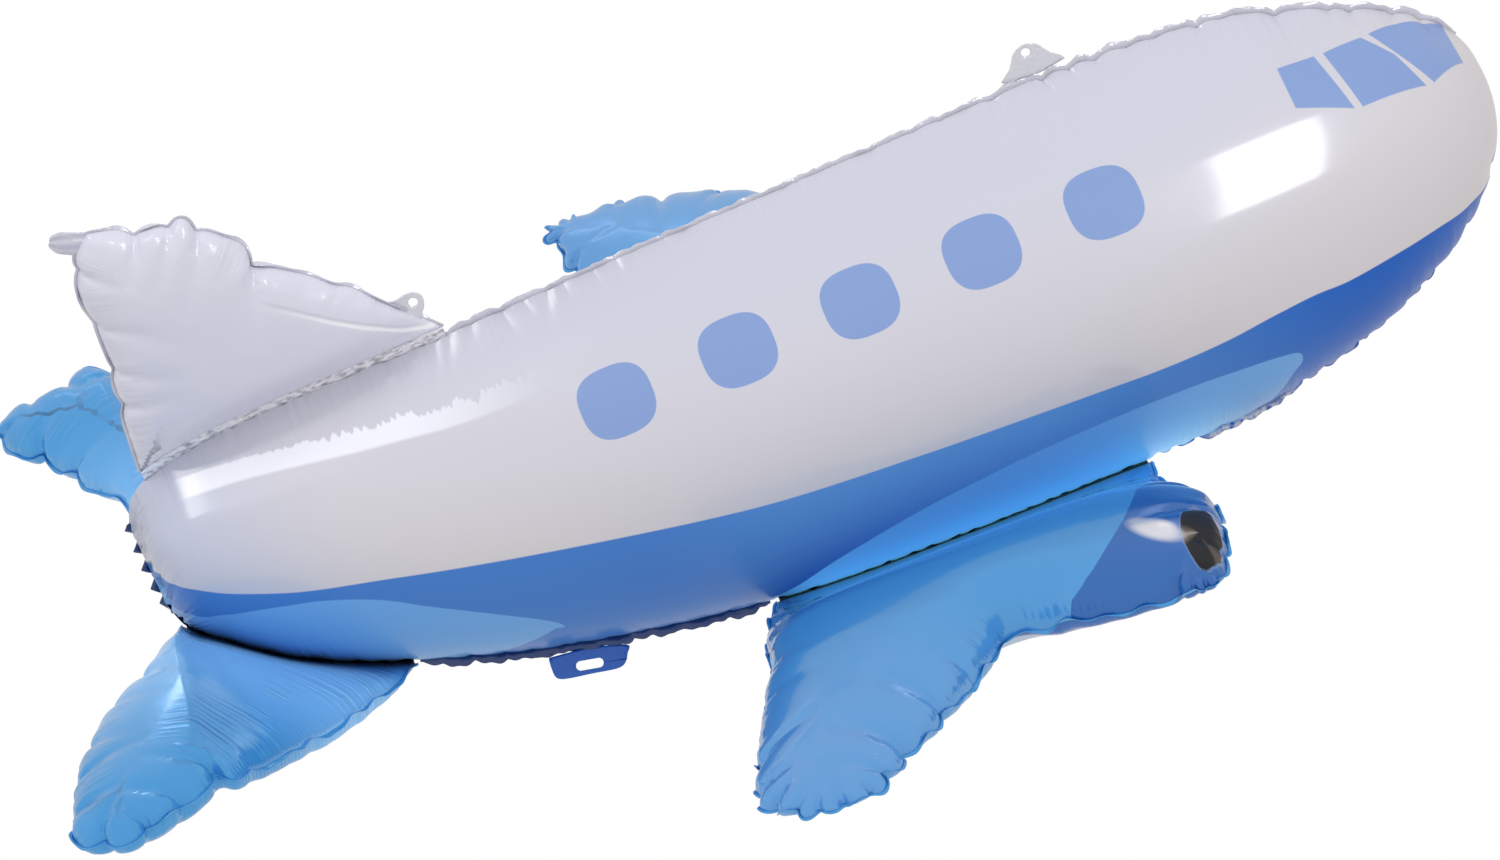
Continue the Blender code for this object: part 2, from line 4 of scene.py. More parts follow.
import bpy
import numpy as np
from mathutils import Matrix, Vector, geometry

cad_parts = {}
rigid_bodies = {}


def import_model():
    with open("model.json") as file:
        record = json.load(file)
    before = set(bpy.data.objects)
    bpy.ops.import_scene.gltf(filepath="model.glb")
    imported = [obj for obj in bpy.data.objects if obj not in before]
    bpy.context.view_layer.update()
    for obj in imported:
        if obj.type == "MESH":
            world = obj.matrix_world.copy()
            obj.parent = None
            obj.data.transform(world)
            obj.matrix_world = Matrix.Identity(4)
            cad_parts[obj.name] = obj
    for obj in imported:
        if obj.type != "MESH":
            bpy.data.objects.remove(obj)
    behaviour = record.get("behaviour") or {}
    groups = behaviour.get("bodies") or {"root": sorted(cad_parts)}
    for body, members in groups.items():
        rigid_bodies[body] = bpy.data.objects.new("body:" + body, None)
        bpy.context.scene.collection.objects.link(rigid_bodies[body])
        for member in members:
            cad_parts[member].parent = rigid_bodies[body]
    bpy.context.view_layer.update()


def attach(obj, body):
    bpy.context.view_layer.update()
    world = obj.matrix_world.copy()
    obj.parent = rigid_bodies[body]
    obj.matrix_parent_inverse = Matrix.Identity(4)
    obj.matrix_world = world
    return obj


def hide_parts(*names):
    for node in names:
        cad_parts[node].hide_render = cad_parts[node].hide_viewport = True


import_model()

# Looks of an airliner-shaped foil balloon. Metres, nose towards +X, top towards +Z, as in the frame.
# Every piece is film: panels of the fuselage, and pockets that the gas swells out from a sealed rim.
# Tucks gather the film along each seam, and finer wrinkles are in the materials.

# Photograph: its frame and where the balloon's origin lies in it, in pixels
PHOTO_SIZE = (1500, 860)
ORIGIN_PIXEL = (883, 359)
PIXEL_SIZE = 0.00068            # metres to a pixel at the origin
VIEW_TURN = math.radians(-1)    # of the camera, towards the nose
VIEW_LIFT = math.radians(33)
VIEW_ROLL = math.radians(22.03)
VIEW_DISTANCE = 4.4
SENSOR = 36

# Film and seams
FLANGE = 0.0065                 # sealed film beyond a seam of the fuselage
POCKET_FLANGE = 0.0022          # sealed film beyond the rim of a pocket
FILM = 0.0004                   # thickness of the sealed layers as shown
TUCK_DEPTH = 0.0042             # of the deepest tuck of the fuselage
CLEARANCE = 0.0008              # between a swollen pocket and the fuselage that it rests on
SEAM_WAVE = 0.0008              # how far a seam's free edge sways to its sides
SEAM_STEP = 0.0016              # between points along a seam
RIM_WAVE = 0.0010               # how far a pocket's rim sways up and down

BUMP_UNIT = 0.0016              # height of a material's bump of 1
DOME_WIDTH = 0.062              # of the film that is rounded beside the spine seam
DOME_SLOPE = 0.40               # of that film at the seam

# Fuselage, nearly as in the solids: x, half width, half height, height of the middle
STATIONS = np.array((
    (-0.5120, 0.0030, 0.0330, 0.0690),
    (-0.5045, 0.0340, 0.0470, 0.0690),
    (-0.4860, 0.0590, 0.0590, 0.0675),
    (-0.4400, 0.0800, 0.0800, 0.0520),
    (-0.3770, 0.0955, 0.0955, 0.0370),
    (-0.2665, 0.1125, 0.1125, 0.0170),
    (-0.1220, 0.1270, 0.1270, 0.0040),
    (0.0000, 0.1310, 0.1310, 0.0005),
    (0.1500, 0.1330, 0.1330, 0.0005),
))
TAIL_X = -0.5120
NOSE_START_X = 0.150
NOSE_TIP_X = 0.4500
NOSE_RISE = 0.021               # of the middle at the tip of the nose
NOSE_POWERS = (2.2, 2.3)        # how slowly the nose tapers, and how blunt its tip is
RIDGE = math.radians(33)        # angle from the spine where the skin starts to rise to a ridge
NOSE_RIDGE = 0.55               # share of the ridge that is left at the tip of the nose
BELLY = math.radians(33)        # half of the angle that the belly panel spans
SEAM_TURN = math.pi - BELLY     # angle of the lower seams, from the top

# Roots of wings and tailplanes on the lower seams
WING_ROOT_X = (-0.1300, 0.1414)
WING_DIHEDRAL = math.radians(12)
TAILPLANE_ROOT_X = (-0.5060, -0.3700)
TAILPLANE_DIHEDRAL = math.radians(9)
ROOT_SEAL = 0.0053              # sealed film between a lower seam and a root
FIN_ROOT_X = (-0.4890, -0.2660)
FIN_FOOT = 0.156
FIN_TOP = 0.316

# Rims of the swollen pockets, from the rear of the root round to its front: (x, distance out)
WING_RIM = (
    (-0.130, 0.000), (-0.139, 0.030), (-0.148, 0.064), (-0.151, 0.115), (-0.159, 0.152),
    (-0.1755, 0.213), (-0.185, 0.252), (-0.192, 0.283), (-0.1925, 0.308), (-0.184, 0.326),
    (-0.168, 0.345), (-0.143, 0.352), (-0.1225, 0.354), (-0.107, 0.335), (-0.090, 0.306),
    (-0.068, 0.282), (-0.0465, 0.253), (-0.023, 0.221), (-0.0105, 0.203), (-0.0030, 0.190),
    (0.007, 0.1865), (0.0216, 0.191), (0.048, 0.206), (0.077, 0.219), (0.100, 0.225),
    (0.120, 0.236), (0.137, 0.232), (0.148, 0.208), (0.155, 0.179), (0.1605, 0.140),
    (0.161, 0.110), (0.150, 0.079), (0.143, 0.052), (0.1395, 0.026), (0.1414, 0.000),
)
WING_RIM_LEFT = (
    (-0.130, 0.000), (-0.139, 0.030), (-0.148, 0.064), (-0.151, 0.115), (-0.156, 0.152),
    (-0.161, 0.213), (-0.168, 0.250), (-0.177, 0.273), (-0.173, 0.289), (-0.182, 0.305),
    (-0.181, 0.317), (-0.169, 0.324), (-0.153, 0.324), (-0.144, 0.317), (-0.125, 0.321),
    (-0.106, 0.313), (-0.078, 0.303), (-0.049, 0.290), (-0.022, 0.268), (0.000, 0.240),
    (0.018, 0.222), (0.048, 0.216), (0.077, 0.221), (0.100, 0.226), (0.120, 0.236),
    (0.137, 0.232), (0.148, 0.208), (0.155, 0.179), (0.1605, 0.140), (0.161, 0.110),
    (0.150, 0.079), (0.143, 0.052), (0.1395, 0.026), (0.1414, 0.000),
)
TAILPLANE_RIM = (
    (-0.506, 0.000), (-0.520, 0.032), (-0.538, 0.070), (-0.569, 0.107), (-0.585, 0.145),
    (-0.597, 0.184), (-0.602, 0.220), (-0.604, 0.253), (-0.588, 0.275), (-0.565, 0.284),
    (-0.534, 0.269), (-0.503, 0.242), (-0.474, 0.184), (-0.447, 0.131), (-0.4115, 0.0713),
    (-0.387, 0.030), (-0.370, 0.000),
)
TAILPLANE_RIM_LEFT = (
    (-0.506, 0.000), (-0.510, 0.040), (-0.514, 0.080), (-0.522, 0.112), (-0.541, 0.136),
    (-0.558, 0.1685), (-0.580, 0.196), (-0.591, 0.221), (-0.584, 0.237), (-0.567, 0.245),
    (-0.546, 0.241), (-0.522, 0.254), (-0.500, 0.240), (-0.474, 0.192), (-0.444, 0.132),
    (-0.412, 0.072), (-0.388, 0.030), (-0.370, 0.000),
)
FIN_RIM = (
    (-0.489, 0.156), (-0.4865, 0.178), (-0.4835, 0.203), (-0.478, 0.232), (-0.4755, 0.250),
    (-0.4765, 0.267), (-0.4765, 0.284), (-0.4735, 0.302), (-0.469, 0.314), (-0.459, 0.3245),
    (-0.4505, 0.3265), (-0.425, 0.3155), (-0.406, 0.313), (-0.394, 0.311), (-0.3865, 0.3005),
    (-0.374, 0.286), (-0.3645, 0.272), (-0.358, 0.2555), (-0.342, 0.2405), (-0.328, 0.227),
    (-0.3095, 0.2095), (-0.2925, 0.1885), (-0.272, 0.164), (-0.266, 0.156),
)

# Notches that the film's gathers leave in those rims: x, distance out (height on the fin), depth
WING_NOTCHES = (
    (-0.142, 0.045, 0.0020), (-0.155, 0.142, 0.0055), (-0.168, 0.190, 0.0015),
    (-0.187, 0.262, 0.0080), (-0.1925, 0.294, 0.0090), (-0.188, 0.320, 0.0110),
    (-0.175, 0.338, 0.0070), (-0.160, 0.349, 0.0075), (-0.143, 0.352, 0.0070),
    (-0.1225, 0.354, 0.0085), (-0.107, 0.335, 0.0085), (-0.0905, 0.307, 0.0085),
    (-0.0603, 0.271, 0.0050), (-0.034, 0.237, 0.0015), (0.107, 0.229, 0.0065),
    (0.119, 0.236, 0.0050), (0.1294, 0.236, 0.0060), (0.1390, 0.228, 0.0055),
    (0.150, 0.198, 0.0045), (0.1576, 0.149, 0.0045), (0.1613, 0.103, 0.0045),
    (0.151, 0.067, 0.0045), (0.1413, 0.052, 0.0035), (0.1393, 0.031, 0.0030),
)
TAILPLANE_NOTCHES = (
    (-0.521, 0.035, 0.0065), (-0.545, 0.078, 0.0065), (-0.5675, 0.105, 0.0065),
    (-0.5860, 0.150, 0.0075), (-0.597, 0.190, 0.0075), (-0.602, 0.232, 0.0060),
    (-0.588, 0.275, 0.0080), (-0.555, 0.281, 0.0080), (-0.530, 0.266, 0.0050),
    (-0.503, 0.242, 0.0090),
)
TAILPLANE_NOTCHES_LEFT = (
    (-0.514, 0.080, 0.0030), (-0.548, 0.150, 0.0060), (-0.562, 0.186, 0.0070),
    (-0.588, 0.220, 0.0040), (-0.562, 0.238, 0.0050), (-0.536, 0.244, 0.0050),
    (-0.500, 0.232, 0.0040), (-0.474, 0.188, 0.0030), (-0.440, 0.124, 0.0020),
)
FIN_NOTCHES = (
    (-0.4835, 0.206, 0.0040), (-0.4790, 0.233, 0.0030), (-0.4775, 0.264, 0.0025),
    (-0.4710, 0.306, 0.0040), (-0.4255, 0.316, 0.0045), (-0.4045, 0.311, 0.0050),
    (-0.3882, 0.299, 0.0045), (-0.3579, 0.260, 0.0060), (-0.318, 0.220, 0.0010),
)
NOTCH_REACH = 0.016             # half width of a notch in the rim
FLATNESS = 1.30                 # over 1 a pocket is flatter in the middle and rounder at its rim

# Colours: linear red, green, blue
PEARL = (0.65, 0.65, 0.725, 1.0)
PEARL_LOW_REFLECTION = (0.705, 0.675, 0.685, 1.0)
PEARL_TAIL = (0.575, 0.60, 0.71, 1.0)
PEARL_FIN = (0.76, 0.76, 0.84, 1.0)
ROYAL_BLUE = (0.008, 0.126, 0.550, 1.0)
ROYAL_MIDDLE_LIT = (0.118, 0.324, 0.705, 1.0)
ROYAL_REAR_LIT = (0.063, 0.227, 0.625, 1.0)
PATCH_BLUE = (0.165, 0.430, 0.830, 1.0)
LIGHT_BLUE = (0.072, 0.425, 0.870, 1.0)
# painted reflection: lighter blue where the film mirrors the bright studio
REFLECTION_BLUE = (0.143, 0.452, 0.888, 1.0)
SHADE_BLUE = (0.045, 0.270, 0.660, 1.0)
TAILPLANE_SHADE = (0.016, 0.095, 0.300, 1.0)
ENGINE_BLUE = (0.026, 0.180, 0.570, 1.0)
NAVY = (0.020, 0.055, 0.190, 1.0)
WINDOW_BLUE = (0.235, 0.355, 0.655, 1.0)
WHITE = (1.0, 1.0, 1.0, 1.0)
# colour of painted highlights
HIGHLIGHT_WHITE = (0.95, 0.95, 1.0, 1.0)
# black of the printed intake, and painted shade on the pockets' root strips
BLACK_INK_AND_SHADE = (0.010, 0.008, 0.008, 1.0)
INTAKE_BROWN = (0.150, 0.115, 0.080, 1.0)
INTAKE_GLINT = (0.42, 0.38, 0.32, 1.0)
INTAKE_RING = (0.16, 0.30, 0.58, 1.0)
CLEAR_FILM = (0.75, 0.76, 0.80, 1.0)
CLEAR_SEAM = (0.66, 0.69, 0.75, 1.0)
SILVER_LOW = (0.46, 0.46, 0.50, 1.0)
SILVER_HIGH = (0.94, 0.94, 0.98, 1.0)
# Painted shade: the colours that creases and the pockets' roots fall to
CREASE_SHADE = (0.012, 0.008, 0.014, 1.0)
ROOT_SHADE = (0.030, 0.016, 0.022, 1.0)
FIN_CREASE_SHADE = (0.30, 0.30, 0.33, 1.0)
NO_GLOW = (0.0, 0.0, 0.0, 1.0)
PATCH_GLOW = (0.062, 0.250, 0.390, 1.0)     # of light that comes through the film
TAILPLANE_GLOW = (0.070, 0.145, 0.200, 1.0)
SKY_LOW = (0.70, 0.67, 0.67, 1.0)
SKY_HIGH = (0.72, 0.73, 0.78, 1.0)

# Prints on the fuselage's sides. Along is x, around is the arc from the spine and below the arc
# to the lower seam.
WINDOW_FIRST = (0.1698, 0.1020)         # along and around of the front window's middle
WINDOW_PITCH = 0.0869
WINDOW_SLOPE = 0.0215                   # the row comes nearer to the spine towards the tail
WINDOW_SIZE = (0.0252, 0.0250)          # half length and half height
WINDOW_ROUND = 2.7
PANES = (
    ((0.3128, 0.0460), (0.3396, 0.0391), (0.3496, 0.0832), (0.3128, 0.0784)),
    ((0.3461, 0.0375), (0.3749, 0.0258), (0.3910, 0.0404), (0.4020, 0.0648), (0.3551, 0.0824)),
    ((0.3807, 0.0226), (0.4037, 0.0099), (0.4331, 0.0000), (0.4350, 0.0323), (0.4082, 0.0611)),
)
BAND = (
    (-0.5120, 0.0380), (-0.5060, 0.0510), (-0.4960, 0.0630), (-0.4738, 0.0765),
    (-0.4285, 0.0976),
    (-0.3357, 0.1203), (-0.2412, 0.1315), (-0.1238, 0.1347), (0.0200, 0.1315),
    (0.1203, 0.1273), (0.2132, 0.1229), (0.2484, 0.1208), (0.3047, 0.1048),
    (0.3545, 0.0834), (0.3991, 0.0484), (0.4282, 0.0106),
)
FRONT_PATCH = (
    (-0.1450, 0.0000), (-0.1190, 0.0325), (-0.0572, 0.0730), (0.0405, 0.0955),
    (0.1136, 0.1006), (0.1702, 0.1004), (0.2038, 0.0955), (0.2533, 0.0783), (0.2620, 0.0684),
)
FRONT_PATCH_END = ((0.0000, 0.2200), (0.0530, 0.2494), (0.0684, 0.2581), (0.0783, 0.2533))
REAR_PATCH = (
    (-0.5150, 0.0180), (-0.5032, 0.0291), (-0.4870, 0.0434), (-0.4721, 0.0585),
    (-0.4282, 0.0879), (-0.3997, 0.0968), (-0.3735, 0.0981), (-0.3483, 0.0928),
    (-0.3033, 0.0801), (-0.2739, 0.0657), (-0.2680, 0.0580),
)
REAR_PATCH_FOOT = (
    (-0.3500, -0.0100), (-0.3300, 0.0080), (-0.3000, 0.0330), (-0.2740, 0.0560),
)

# Middle of the long highlight painted on the rear of a side, along and around, and its half width
REAR_HIGHLIGHT = (
    (-0.4720, 0.0220), (-0.4538, 0.0263), (-0.4195, 0.0335), (-0.3868, 0.0403),
    (-0.3514, 0.0472), (-0.3182, 0.0520), (-0.2826, 0.0569), (-0.2493, 0.0590),
    (-0.1500, 0.0590),
)
REAR_HIGHLIGHT_WIDTH = 0.0092

# Where the wing's print changes from light to dark blue: (distance out, x)
WING_ARC = (
    (0.0000, 0.1414), (0.0185, 0.1368), (0.0600, 0.1310), (0.1069, 0.1208), (0.1607, 0.0978),
    (0.1849, 0.0780), (0.1977, 0.0588), (0.2023, 0.0370), (0.2060, -0.0100),
)
LOWER_ARC = (                           # the same on the wing's lower side
    (0.0000, 0.1414), (0.0600, 0.1310), (0.1069, 0.1150), (0.1350, 0.0950), (0.1550, 0.0650),
    (0.1700, 0.0300), (0.1800, -0.0050), (0.2060, -0.0150),
)
INTAKE_PLACE = (0.1405, 0.1875)         # middle of the printed air intake: x, distance out
INTAKE_SIZE = (0.0112, 0.0370)
INTAKE_SLANT = 0.172
POD_HIGHLIGHT = (0.1144, 0.1789)            # middle of the highlight painted on the pod: x, distance out
POD_HIGHLIGHT_SLOPES = ((43.4, 18.6), (54.8, 59.1))     # how fast it fades each way, per metre

# The fin's long fold: x, height above the fin's foot
FIN_FOLD = (
    (-0.3760, 0.0865), (-0.3620, 0.0752), (-0.3400, 0.0548), (-0.3173, 0.0350),
    (-0.3000, 0.0215), (-0.2860, 0.0115), (-0.2660, 0.0030),
)

# Points of the gathered film at the tail end: height and reach, with their half width and the
# heights between which the film runs
TAIL_TEETH = ((0.1060, 0.0050), (0.0885, 0.0058), (0.0725, 0.0064), (0.0555, 0.0062),
              (0.0410, 0.0050))
TAIL_TOOTH_WIDTH = 0.0062
TAIL_FILM = (0.031, 0.110)

# The filling valve's tongue
FILLER_PLACE = (-0.4690, 0.0, 0.3262)   # of its middle
FILLER_AWAY = (-0.872, 0.0, 0.490)      # the way that it points
FILLER_ACROSS = (0.490, 0.0, 0.872)
FILLER_SIZE = (0.0230, 0.0086)          # length and half width
FILLER_FILM = 0.0008                    # thickness as shown

# Tabs: the place of each, and its outline as pairs of the way along its seam and the way out
SPINE_TAB_X = 0.1620
SPINE_TAB_OUTLINE = np.array((
    (-0.0235, 0.0000), (-0.0170, 0.0040), (-0.0120, 0.0110), (-0.0080, 0.0175), (0.0000, 0.0215),
    (0.0080, 0.0190), (0.0130, 0.0120), (0.0180, 0.0050), (0.0240, 0.0000), (0.0000, -0.0030),
))
FIN_TAB_HOLE = (-0.2775, 0.0, 0.1842)
FIN_TAB_OUT = (0.823, 0.0, 0.568)       # square to the fin's front edge
FIN_TAB_ALONG = (-0.568, 0.0, 0.823)
FIN_TAB_OUTLINE = np.array((
    (-0.0150, -0.0050), (-0.0105, 0.0010), (-0.0080, 0.0075), (-0.0040, 0.0120), (0.0000, 0.0133),
    (0.0040, 0.0120), (0.0080, 0.0075), (0.0110, 0.0010), (0.0160, -0.0050), (0.0000, -0.0060),
))
BELLY_TAB_X = -0.2600
BELLY_TAB_OUTLINE = np.array((
    (-0.0270, 0.0000), (-0.0260, 0.0080), (-0.0240, 0.0140), (-0.0180, 0.0160), (0.0000, 0.0155),
    (0.0180, 0.0150), (0.0240, 0.0120), (0.0265, 0.0060), (0.0270, 0.0000), (0.0000, -0.0020),
))
TAB_HOLE = 0.0065               # across
TAB_FILM = 0.0006               # thickness of a tab as shown
TAB_STEP = 0.0006               # between points along a tab's outline
BELLY_SLOT = (0.0190, 0.0065)   # length and height

# Soft lights: name, place, aim, size, power in watts, kind of light that they leave out, and the first
# words of the pieces that they light
BODY = ("fuselage", "fin", "spine", "filler")
FAR_POCKETS = ("wing_film_left", "tailplane_film_left")
SOFT_LIGHTS = (
    ("key_gloss", (1.10, -1.32, 1.56), (0.28, -0.09, 0.10), (0.62, 1.40), 20, "diffuse", BODY),
    ("key_fill", (0.88, -1.21, 1.65), (0.28, -0.09, 0.10), (0.70, 0.55), 9, "glossy", BODY),
    ("rear_softbox", (-0.82, -0.02, 2.10), (-0.33, -0.06, 0.13), (0.95, 0.42), 6, None, BODY),
    ("tailplane_softbox", (-0.45, 2.00, 0.70), (-0.53, -0.18, 0.08), (0.5, 0.14), 0.8, None,
     ("tailplane_film_right",)),
    ("far_softbox", (-0.10, 2.20, 1.10), (-0.20, 0.30, 0.0), (1.4, 0.16), 0.5, None, FAR_POCKETS),
)


class Tone:
    """A socket of a material's nodes. Arithmetic on it adds Math nodes."""

    def __init__(self, tree, socket=None):
        self.tree = tree
        self.socket = socket

    def add(self, kind, settings=None, sockets=None, output=0):
        """A node of any type: first its settings or its curve's points, then the values or links
        of its sockets."""
        node = self.tree.nodes.new("ShaderNode" + kind)
        for name, value in (settings or {}).items():
            if name == "points":
                curve = node.mapping.curves[0]
                while len(curve.points) < len(value):
                    curve.points.new(0.5, 0.5)
                for point, place in zip(curve.points, value):
                    point.location = place
                node.mapping.update()
            else:
                setattr(node, name, value)
        for name, value in (sockets or {}).items():
            if isinstance(value, Tone):
                self.tree.links.new(value.socket, node.inputs[name])
            else:
                node.inputs[name].default_value = value
        return Tone(self.tree, node.outputs[output] if node.outputs else None)

    def math(self, operation, *values):
        return self.add("Math", {"operation": operation}, dict(enumerate(values)))

    def __add__(self, other):
        return self.math("ADD", self, other)

    __radd__ = __add__

    def __sub__(self, other):
        return self.math("SUBTRACT", self, other)

    def __rsub__(self, other):
        return self.math("SUBTRACT", other, self)

    def __mul__(self, other):
        return self.math("MULTIPLY", self, other)

    __rmul__ = __mul__

    def __truediv__(self, other):
        return self.math("DIVIDE", self, other)

    def __pow__(self, other):
        return self.math("POWER", self, other)

    def __abs__(self):
        return self.math("ABSOLUTE", self)

    def ramp(self, start, end):
        """0 up to start, 1 from end on, and smooth between them. Start may be the higher one."""
        if isinstance(start, (int, float)) and isinstance(end, (int, float)) and start > end:
            return 1 - self.ramp(end, start)
        settings = {"interpolation_type": "SMOOTHSTEP"}
        return self.add("MapRange", settings, {"Value": self, "From Min": start, "From Max": end})

    def over(self, edge, blur=0.0005):
        """1 where this is over the edge, with a print's narrow blur."""
        return (self - edge).ramp(-blur, blur)

    def mix(self, low, high):
        """A colour between two, by this share."""
        sockets = {0: self, 6: low, 7: high}
        return self.add("Mix", {"data_type": "RGBA"}, sockets, output=2)

    def curve(self, points):
        """A curve through pairs of (place, value), read at this place."""
        places, values = zip(*points)
        low, high = min(values), max(values)
        start, end = places[0], places[-1]
        flat = [((a - start) / (end - start), (b - low) / (high - low)) for a, b in points]
        share = self.add("MapRange", {}, {"Value": self, "From Min": start, "From Max": end})
        height = self.add("FloatCurve", {"points": flat}, {"Value": share})
        return height * (high - low) + low


def nodes_of(name):
    """A new material, and a way to its nodes."""
    material = bpy.data.materials.new(name)
    material.use_nodes = True
    material.node_tree.nodes.clear()
    return material, Tone(material.node_tree)


def finish_film(material, color, normal, roughness=0.24, metallic=0.15, coat=0.5, index=1.45,
                coat_index=1.6, coat_roughness=0.08, glow=NO_GLOW):
    """Ends a material as glossy film."""
    tones = Tone(material.node_tree)
    shader = tones.add("BsdfPrincipled", {}, {
        "Base Color": color, "Normal": normal, "Roughness": roughness,
        "Metallic": metallic, "Coat Weight": coat, "Coat Roughness": coat_roughness,
        "Coat IOR": coat_index, "IOR": index, "Emission Color": glow, "Emission Strength": 1.0,
    })
    tones.add("OutputMaterial", {}, {"Surface": shader})
    return material


def attribute(tones, name):
    """A value that the mesh keeps at each of its points."""
    return tones.add("Attribute", {"attribute_name": name}, output=2)


def place_of(tones):
    """The place on the piece, in metres."""
    return tones.add("TexCoord", output=3)


def combs(tones, run, away, pitch, fade):
    """The height of fine wrinkles that start at a seam and fade away from it."""
    where = tones.add("CombineXYZ", {}, {"X": run / pitch, "Y": away * 9.0})
    noise = tones.add("TexNoise", {}, {"Vector": where, "Scale": 1.0, "Detail": 1.5})
    return (noise - 0.5) * away.ramp(fade, 0.0)


def drape(tones):
    """The height of the slight unevenness of tight film."""
    noise = tones.add("TexNoise", {}, {"Vector": place_of(tones), "Scale": 26.0, "Detail": 2.0})
    return (noise - 0.5) * 0.35


def bump(tones, height, distance=BUMP_UNIT, strength=1.0):
    return tones.add("Bump", {}, {"Strength": strength, "Distance": distance, "Height": height})


def smooth_path(points, steps=8):
    """A smooth open path through points."""
    points = [np.array(p, float) for p in points]
    path = []
    for i in range(len(points) - 1):
        before = points[max(i - 1, 0)]
        start, end = points[i], points[i + 1]
        after = points[min(i + 2, len(points) - 1)]
        for j in range(steps):
            t = j / steps
            path.append(0.5 * (2 * start + (end - before) * t
                               + (2 * before - 5 * start + 4 * end - after) * t ** 2
                               + (3 * start - before - 3 * end + after) * t ** 3))
    path.append(points[-1])
    return np.array(path)


def run_of(path):
    """The length of a path up to each of its points."""
    return np.r_[0, np.cumsum(np.linalg.norm(np.diff(path, axis=0), axis=1))]


def even_path(path, step):
    """The same path with points an even step apart."""
    run = run_of(path)
    count = max(int(round(run[-1] / step)), 2)
    places = np.linspace(0, run[-1], count + 1)
    return np.stack([np.interp(places, run, path[:, k]) for k in range(path.shape[1])], axis=1)


class Tucks:
    """The tucks that gather film along a seam: each has a place, a lean, a reach and a strength."""

    def __init__(self, seed, first, last, spacing, strength=(0.35, 1.0), reach=(0.010, 0.030),
                 width=0.0035, spread=0.28):
        random = np.random.default_rng(seed)
        steps = random.uniform(0.55, 1.45, int((last - first) / spacing * 2) + 4) * spacing
        places = first + np.cumsum(steps)
        self.place = places[places < last]
        count = len(self.place)
        self.strength = random.uniform(*strength, count)
        self.reach = random.uniform(*reach, count)
        self.lean = random.uniform(-0.35, 0.35, count)
        self.width = width * random.uniform(0.7, 1.4, count)
        self.spread = spread

    @classmethod
    def at(cls, seed, places, strength, reach, width, spread):
        """Tucks at known places."""
        tucks = cls(seed, 0, 1e-6, 1.0, reach=reach, width=width, spread=spread)
        random = np.random.default_rng(seed)
        count = len(places)
        tucks.place, tucks.strength = np.asarray(places), np.asarray(strength)
        tucks.reach = random.uniform(*reach, count)
        tucks.lean = random.uniform(-0.5, 0.5, count)
        tucks.width = width * random.uniform(0.7, 1.4, count)
        return tucks

    def depth(self, place, away):
        """0 between tucks, up to 1 in the middle of one at the seam, for arrays of places."""
        place, away = np.asarray(place, float), np.asarray(away, float)
        deepest = np.zeros(np.broadcast(place, away).shape)
        for middle, strength, reach, lean, width in zip(self.place, self.strength, self.reach,
                                                        self.lean, self.width):
            across = np.abs(place - middle - lean * away) / (width + self.spread * away)
            valley = strength * np.exp(-across ** 1.4 - away / reach)
            deepest = np.maximum(deepest, valley)
        return deepest


def fuselage_size(x):
    """Half width, half height and middle height of the fuselage, for an array of x."""
    x = np.asarray(x, float)
    rows = STATIONS
    slopes = (np.roll(rows, -1, axis=0) - np.roll(rows, 1, axis=0))
    slopes[0] = rows[1] - rows[0]
    slopes[-1] = rows[-1] - rows[-2]
    slopes = slopes / slopes[:, :1]
    index = np.clip(np.searchsorted(rows[:, 0], x, side="right") - 1, 0, len(rows) - 2)
    span = rows[index + 1, 0] - rows[index, 0]
    t = np.clip((x - rows[index, 0]) / span, 0, 1)
    sizes = []
    for column in (1, 2, 3):
        rise = rows[index + 1, column] - rows[index, column]
        bend = (slopes[index, column] * span * (1 - t) ** 2 * t
                - slopes[index + 1, column] * span * (1 - t) * t ** 2)
        sizes.append(rows[index, column] + rise * (3 * t ** 2 - 2 * t ** 3) + bend)
    width, height, middle = sizes
    t = np.clip((x - NOSE_START_X) / (NOSE_TIP_X - NOSE_START_X), 0, 1)
    taper, blunt = NOSE_POWERS
    scale = np.maximum((1 - t ** taper), 0) ** (1 / blunt)
    return width * scale, height * scale, middle + NOSE_RISE * t ** 2.5


def skin(x, turn):
    """Points of the fuselage's skin. The turn is from the top towards -Y."""
    width, height, middle = fuselage_size(x)
    ridge = RIDGE * (1 - (1 - NOSE_RIDGE) * np.clip((x - 0.30) / 0.15, 0, 1))
    reach = 1 / np.cos(np.maximum(ridge - np.abs(turn), 0))
    return np.stack([x + 0 * turn, -width * reach * np.sin(turn),
                     middle + height * reach * np.cos(turn)], axis=-1)


def skin_outward(x, turn):
    """The way out of the skin, which both panels of a seam share there."""
    step = 0.001
    ahead = np.minimum(x + step, NOSE_TIP_X - 1e-5)
    behind = np.maximum(x - step, TAIL_X)
    slope = (fuselage_size(ahead)[1] - fuselage_size(behind)[1]) / (ahead - behind)
    way = np.stack([-slope + 0 * turn, -np.sin(turn) + 0 * x, np.cos(turn) + 0 * x], axis=-1)
    return way / np.linalg.norm(way, axis=-1, keepdims=True)


NOSE_TUCKS = Tucks(12, 0.110, 0.440, 0.026, (0.35, 1.0), (0.008, 0.022), 0.0040)
SPINE_TUCKS = Tucks(13, -0.500, 0.110, 0.017, (0.02, 0.24), (0.004, 0.014), 0.0018, 0.16)
LOW_FRONT_TUCKS = Tucks(14, 0.130, 0.440, 0.014, (0.3, 1.0), (0.010, 0.030), 0.0028)
LOW_REAR_TUCKS = Tucks(15, -0.515, 0.130, 0.016, (0.10, 0.5), (0.008, 0.024), 0.0024)
TAIL_TUCKS = Tucks(16, -0.010, 0.140, 0.013, (0.5, 1.0), (0.008, 0.022), 0.0026, 0.22)


